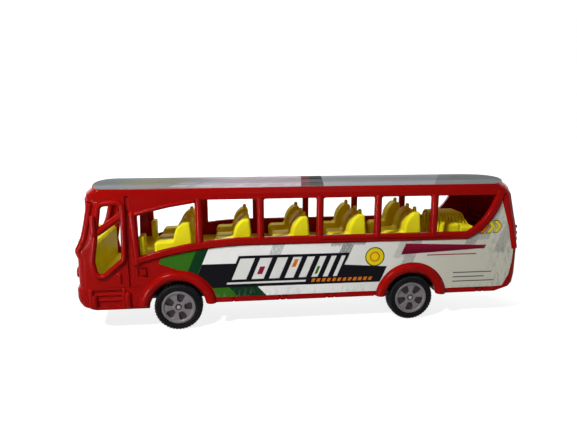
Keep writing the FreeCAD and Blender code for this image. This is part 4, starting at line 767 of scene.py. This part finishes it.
# Tyre section: from the bore outwards, and from the tread inwards, each with its place across
TYRE_WALL = ((0.0, 0.9), (0.35, 0.35), (0.9, 0.12), (1.5, 0.0), (1.75, 0.30), (2.2, 0.34),
             (2.6, 0.10))
TYRE_SHOULDER = ((1.55, 0.12), (0.85, 0.42), (0.25, 1.15), (0.0, 2.0), (0.0, 3.1))
GROOVE_FLOOR = (3.25, 3.75)
GROOVE_BRINK = 3.9
TYRE_SHARP_TURN = 30.0

# Each notch and the land beside it take this many steps of the turn
TREAD_STEPS, LAND_STEPS = 6, 4
NOTCH_DROP, NOTCH_REACH = 1.0, 3.15


def tyre_section(bore, radius, width, groove_depth):
    """Closed section of a tyre as (radius, y) places."""
    half = [(bore + out, y) for out, y in TYRE_WALL]
    half += [(radius - drop, y) for drop, y in TYRE_SHOULDER]
    half += [(radius - groove_depth, y) for y in GROOVE_FLOOR]
    half.append((radius, GROOVE_BRINK))
    return half + [(r, width - y) for r, y in reversed(half)]


def tyre_form(bore, radius, width, sizes):
    """A tyre about the Y axis from 0 to its width, with notched shoulders and two grooves."""
    steps = sizes.tread_count * TREAD_STEPS
    work = turned(tyre_section(bore, radius, width, sizes.groove_depth / MM), steps)
    wear = work.verts.layers.float.new(TREAD_HIGHLIGHT)
    for vert in work.verts:
        reach = math.hypot(vert.co.x, vert.co.z)
        side = min(vert.co.y, width * MM - vert.co.y)
        if reach < (radius - NOTCH_DROP) * MM or side > NOTCH_REACH * MM:
            continue
        turn = math.atan2(vert.co.z, vert.co.x)
        index = round(turn / (math.tau / steps)) % TREAD_STEPS
        # Marks the edges of a notch, where the rubber gets a painted highlight
        vert[wear] = float(index in (0, LAND_STEPS - 1))
        if index >= LAND_STEPS:
            lower = 1.0 - sizes.tread_depth / reach
            vert.co.x *= lower
            vert.co.z *= lower
    return work


# Places of wheel parts, read from the frame
def middle_of(node):
    """Centre of a CAD node's box."""
    low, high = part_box(node)
    return (Vector(low) + Vector(high)) / 2


def span_of(node, axis):
    """Length of a CAD node's box along an axis."""
    low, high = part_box(node)
    return high[axis] - low[axis]


def sides_of(node):
    """Distances from the middle of the bus to the inner and outer side of a wheel part."""
    low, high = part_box(node)
    return sorted((abs(low[1]), abs(high[1])))


def put_on_axle(work, centre, side, inner):
    """Moves a bmesh drawn about Y from 0 outwards to its place on an axle."""
    if side < 0:
        bmesh.ops.scale(work, vec=(1.0, -1.0, 1.0), verts=work.verts)
        bmesh.ops.recalc_face_normals(work, faces=work.faces)
    shift = Vector((centre.x, side * inner, centre.z))
    bmesh.ops.translate(work, vec=shift, verts=work.verts)


# Small forms beside the CAD model, in millimetres
STEP_RIDGES = {"step_ridge_front": ((-132.2, -30.5, 18.3), (-132.2, -30.5, 23.4), 1.8),
               "step_ridge_rear": ((-112.1, -31.0, 18.0), (-112.1, -31.0, 25.0), 1.9)}
SCREEN_CORNER_TOP, SCREEN_CORNER_FOOT = (-133.9, 22.8, 83.8), (-132.6, 27.6, 78.6)
SCREEN_CORNER_RADIUS = 1.9
TAIL_HEADER = {"place": (140.15, 87.1), "curve": -45.1, "reach": 29.0, "size": (0.9, 2.6),
               "lean": math.radians(40.0)}
DASHBOARD_BROW = {"place": (-142.0, 56.4), "curve": 120.0, "reach": 22.5, "size": (1.9, 2.5)}

# How far a hub's rim stands out from the face that its holes are in
HUB_LIP = 0.667

# How many times finer than the fine rounding the edges of screws and teeth are
SCREW_FINER, TOOTH_FINER = 2, 3


class COACH_OT_body_shell(bpy.types.Operator):
    """Red moulding with rounded edges, step ridges, windscreen corners and a tail header"""

    bl_idname = "coach.body_shell"
    bl_label = "Body shell"

    def execute(self, context):
        red = red_plastic(context.scene.coach_colours)
        sizes = context.scene.coach_sizes
        moulding("body_shell", "bus_body", red, sizes.edge_round)
        for name, (start, end, radius) in STEP_RIDGES.items():
            added(round_bar(start, end, radius), name, red)
        for side, way in SIDES.items():
            top, foot = [(x, way * y, z) for x, y, z in (SCREEN_CORNER_TOP, SCREEN_CORNER_FOOT)]
            corner = round_bar(top, foot, SCREEN_CORNER_RADIUS)
            added(corner, "screen_corner_" + side, red)
        added(rail(**TAIL_HEADER), "tail_header", red)
        return {"FINISHED"}


class COACH_OT_films(bpy.types.Operator):
    """Printed films on the roof and both sides"""

    bl_idname = "coach.films"
    bl_label = "Printed films"

    def execute(self, context):
        colours = context.scene.coach_colours
        dressed("roof_sticker", roof_print(colours))
        print_finish = side_print(colours)
        for side in SIDES:
            dressed("side_sticker_" + side, print_finish)
        return {"FINISHED"}


class COACH_OT_interior(bpy.types.Operator):
    """Yellow moulding with seats, floor, dashboard and engine cover"""

    bl_idname = "coach.interior"
    bl_label = "Interior"

    def execute(self, context):
        yellow = yellow_plastic(context.scene.coach_colours)
        sizes = context.scene.coach_sizes
        moulding("interior_tray", "bus_body", yellow, sizes.edge_round)
        added(rail(**DASHBOARD_BROW), "dashboard_brow", yellow)
        return {"FINISHED"}


class COACH_OT_chassis(bpy.types.Operator):
    """Black chassis and the screws that hold it"""

    bl_idname = "coach.chassis"
    bl_label = "Chassis"

    def execute(self, context):
        colours = context.scene.coach_colours
        sizes = context.scene.coach_sizes
        black, steel = black_plastic(colours), drawn_steel(colours)
        moulding("chassis", "bus_body", black, sizes.edge_round)
        for node in ("chassis_screws", "motor_screws"):
            moulding(node, "bus_body", steel, sizes.fine_round / SCREW_FINER)
        return {"FINISHED"}


class COACH_OT_motor(bpy.types.Operator):
    """Friction motor: case, gears, shafts and flywheel"""

    bl_idname = "coach.motor"
    bl_label = "Friction motor"

    def execute(self, context):
        colours = context.scene.coach_colours
        sizes = context.scene.coach_sizes
        case, gears, steel = case_plastic(colours), gear_plastic(colours), drawn_steel(colours)
        for side in SIDES:
            moulding("motor_case_" + side, "bus_body", case,
                     sizes.fine_round)
        for node, body in (("axle_gear", "rear_wheel_set"), ("idler_gear", "idler_set"),
                           ("flywheel_pinion", "flywheel_set")):
            moulding(node, body, gears, sizes.fine_round / TOOTH_FINER)
        moulding("flywheel", "flywheel_set", steel, sizes.fine_round)
        for name in ("idler", "flywheel"):
            moulding(name + "_shaft", name + "_set", steel, sizes.fine_round)
        return {"FINISHED"}


class COACH_OT_axles(bpy.types.Operator):
    """Steel pins that carry the wheels"""

    bl_idname = "coach.axles"
    bl_label = "Axles"

    def execute(self, context):
        steel = drawn_steel(context.scene.coach_colours)
        sizes = context.scene.coach_sizes
        for end in ENDS:
            moulding(end + "_axle", end + "_wheel_set", steel, sizes.fine_round)
        return {"FINISHED"}


class COACH_OT_hubs(bpy.types.Operator):
    """Hubs with five holes and a recess round each axle"""

    bl_idname = "coach.hubs"
    bl_label = "Hubs"

    def execute(self, context):
        sizes = context.scene.coach_sizes
        _, outer = sides_of("front_hub_near")
        grey = hub_plastic(context.scene.coach_colours, outer / MM - HUB_LIP)
        for end in ENDS:
            for side in SIDES:
                moulding("%s_hub_%s" % (end, side), end + "_wheel_set", grey,
                         sizes.edge_round)
        return {"FINISHED"}


class COACH_OT_tyres(bpy.types.Operator):
    """Rubber tyres with notched shoulders, grooves and a bead on each side"""

    bl_idname = "coach.tyres"
    bl_label = "Tyres"

    def execute(self, context):
        sizes = context.scene.coach_sizes
        rubber = tyre_rubber(context.scene.coach_colours)
        for end in ENDS:
            for side, way in SIDES.items():
                node = "%s_tyre_%s" % (end, side)
                bore = span_of("%s_hub_%s" % (end, side), 0) / 2
                radius, width = span_of(node, 2) / 2, span_of(node, 1)
                work = tyre_form(bore / MM, radius / MM, width / MM, sizes)
                inner, _ = sides_of(node)
                put_on_axle(work, middle_of(end + "_axle"), way, inner)
                piece = finished(work, node + "_piece", rubber, TYRE_SHARP_TURN)
                stand_in(piece, node, end + "_wheel_set")
        return {"FINISHED"}


# Studio, in metres
WHITE = (1.0, 1.0, 1.0)
SKY_COLOUR, CABIN_COLOUR, FLOOR_COLOUR = (0.96, 0.98, 1.0), (1.0, 0.36, 0.16), (0.40, 0.40, 0.40)

# Each lamp's power, as a setting and its share of it, then its place and size
LAMP_TARGET = (0.0, 0.0, 0.05)
LAMPS = {"key_lamp": ("key_power", 1.0, (-0.40, -0.40, 0.56), (0.07, 0.07)),
         "fill_lamp": ("fill_power", 1.0, (0.15, -0.95, 0.32), (0.35, 0.35)),
         "top_lamp": ("fill_power", 1.0, (0.05, 0.15, 0.95), (0.45, 0.45)),
         "back_lamp": ("back_power", 1.0, (-0.10, 0.75, 0.50), (0.40, 0.40)),
         "tail_lamp": ("back_power", 0.5, (0.80, 0.22, 0.34), (0.30, 0.30))}
GLOSS_PLACE, GLOSS_SIZE = (-0.28, -0.25, 0.006), (0.10, 0.03)
CABIN_PLACE, CABIN_TARGET, CABIN_SIZE = (0.0, 0.0, 0.0865), (0.0, 0.0, 0.0), (0.25, 0.05)
FLOOR_HALF = 3.0
SENSOR_WIDTH = 36.0
CLIP_START = 0.01

# The floor turns quite white between these distances from the middle, in millimetres
FADE_START, FADE_END = 200.0, 900.0


def aimed_lamp(name, place, target, size, power):
    """A soft lamp of a given length and width that points at a target."""
    lamp = bpy.data.lights.new(name, "AREA")
    lamp.shape = "RECTANGLE"
    lamp.size, lamp.size_y = size
    lamp.energy = power
    thing = bpy.data.objects.new(name, lamp)
    thing.location = place
    thing.rotation_euler = (Vector(target) - Vector(place)).to_track_quat("-Z", "Y").to_euler()
    bpy.context.scene.collection.objects.link(thing)
    return thing


def light_the_coach(studio):
    """Key, fill, top, back and tail lamps, one for highlights alone and one in the cabin."""
    for name, (setting, share, place, size) in LAMPS.items():
        aimed_lamp(name, place, LAMP_TARGET, size, getattr(studio, setting) * share)
    gloss = aimed_lamp("gloss_lamp", GLOSS_PLACE, LAMP_TARGET, GLOSS_SIZE, studio.gloss_power)
    gloss.visible_diffuse = False
    cabin = aimed_lamp("cabin_lamp", CABIN_PLACE, CABIN_TARGET, CABIN_SIZE, studio.cabin_power)
    cabin.data.color = CABIN_COLOUR


def white_backdrop(scene, sky):
    """A world that lights softly but looks white to the camera and in reflections."""
    world = scene.world = bpy.data.worlds.new("white_backdrop")
    world.use_nodes = True
    graph = Graph(world.node_tree)
    soft, white = [graph.node("ShaderNodeBackground", inputs={"Color": colour, "Strength": power})
                   for colour, power in ((SKY_COLOUR, sky), (WHITE, 1.0))]
    mixed = graph.node("ShaderNodeMixShader", inputs={0: graph.seen(), 1: soft, 2: white})
    graph.feed(graph.tree.nodes["World Output"].inputs["Surface"], mixed)


def floor_paper(glow):
    """White paper that keeps a shadow but reads as white where nothing stands."""
    finish = Finish("floor_paper", roughness=1.0, specular_ior_level=0.0)
    finish.set("Base Color", FLOOR_COLOUR)
    away = from_centre(finish.x, finish.y).ramp(FADE_START, FADE_END)
    finish.set("Emission Color", finish.blend(away, (glow, glow, glow), WHITE))
    finish.set("Emission Strength", finish.seen())
    return finish


def place_camera(scene, studio):
    """Puts up the camera with the place, turn and lens of the settings."""
    camera = bpy.data.cameras.new("camera")
    camera.lens = studio.lens
    camera.sensor_width = SENSOR_WIDTH
    camera.clip_start = CLIP_START
    holder = bpy.data.objects.new("camera", camera)
    holder.location = studio.camera_place
    holder.rotation_euler = studio.camera_turn
    scene.collection.objects.link(holder)
    scene.camera = holder


class COACH_OT_studio(bpy.types.Operator):
    """White floor, soft lamps and the camera"""

    bl_idname = "coach.studio"
    bl_label = "Studio"

    def execute(self, context):
        scene = context.scene
        studio = scene.coach_studio
        work = bmesh.new()
        bmesh.ops.create_grid(work, x_segments=1, y_segments=1, size=FLOOR_HALF)
        finished(work, "floor", floor_paper(studio.floor_glow))
        white_backdrop(scene, studio.sky)
        light_the_coach(studio)
        place_camera(scene, studio)
        scene.view_settings.view_transform = "Standard"
        return {"FINISHED"}


class COACH_PT_panel(bpy.types.Panel):
    """Lists the pieces and their sizes and colours"""

    bl_idname = "COACH_PT_panel"
    bl_label = "Toy Coach"
    bl_space_type = "VIEW_3D"
    bl_region_type = "UI"
    bl_category = "Toy Coach"

    def draw(self, context):
        for operator in OPERATORS:
            self.layout.operator(operator.bl_idname)
        for name, kind in GROUPS.items():
            group = getattr(context.scene, name)
            for setting in kind.__annotations__:
                self.layout.prop(group, setting)


OPERATORS = (COACH_OT_body_shell, COACH_OT_films, COACH_OT_interior, COACH_OT_chassis,
             COACH_OT_motor, COACH_OT_axles, COACH_OT_hubs, COACH_OT_tyres, COACH_OT_studio)
GROUPS = {"coach_sizes": CoachSizes, "coach_colours": CoachColours,
          "coach_studio": StudioSettings}
CLASSES = (*GROUPS.values(), *OPERATORS, COACH_PT_panel)


def register():
    for made in CLASSES:
        bpy.utils.register_class(made)
    for name, group in GROUPS.items():
        setattr(bpy.types.Scene, name, PointerProperty(type=group))


def unregister():
    for name in GROUPS:
        delattr(bpy.types.Scene, name)
    for made in reversed(CLASSES):
        bpy.utils.unregister_class(made)


def main():
    register()
    for operator in OPERATORS:
        group, name = operator.bl_idname.split(".")
        getattr(getattr(bpy.ops, group), name)()


if __name__ == "__main__":
    main()
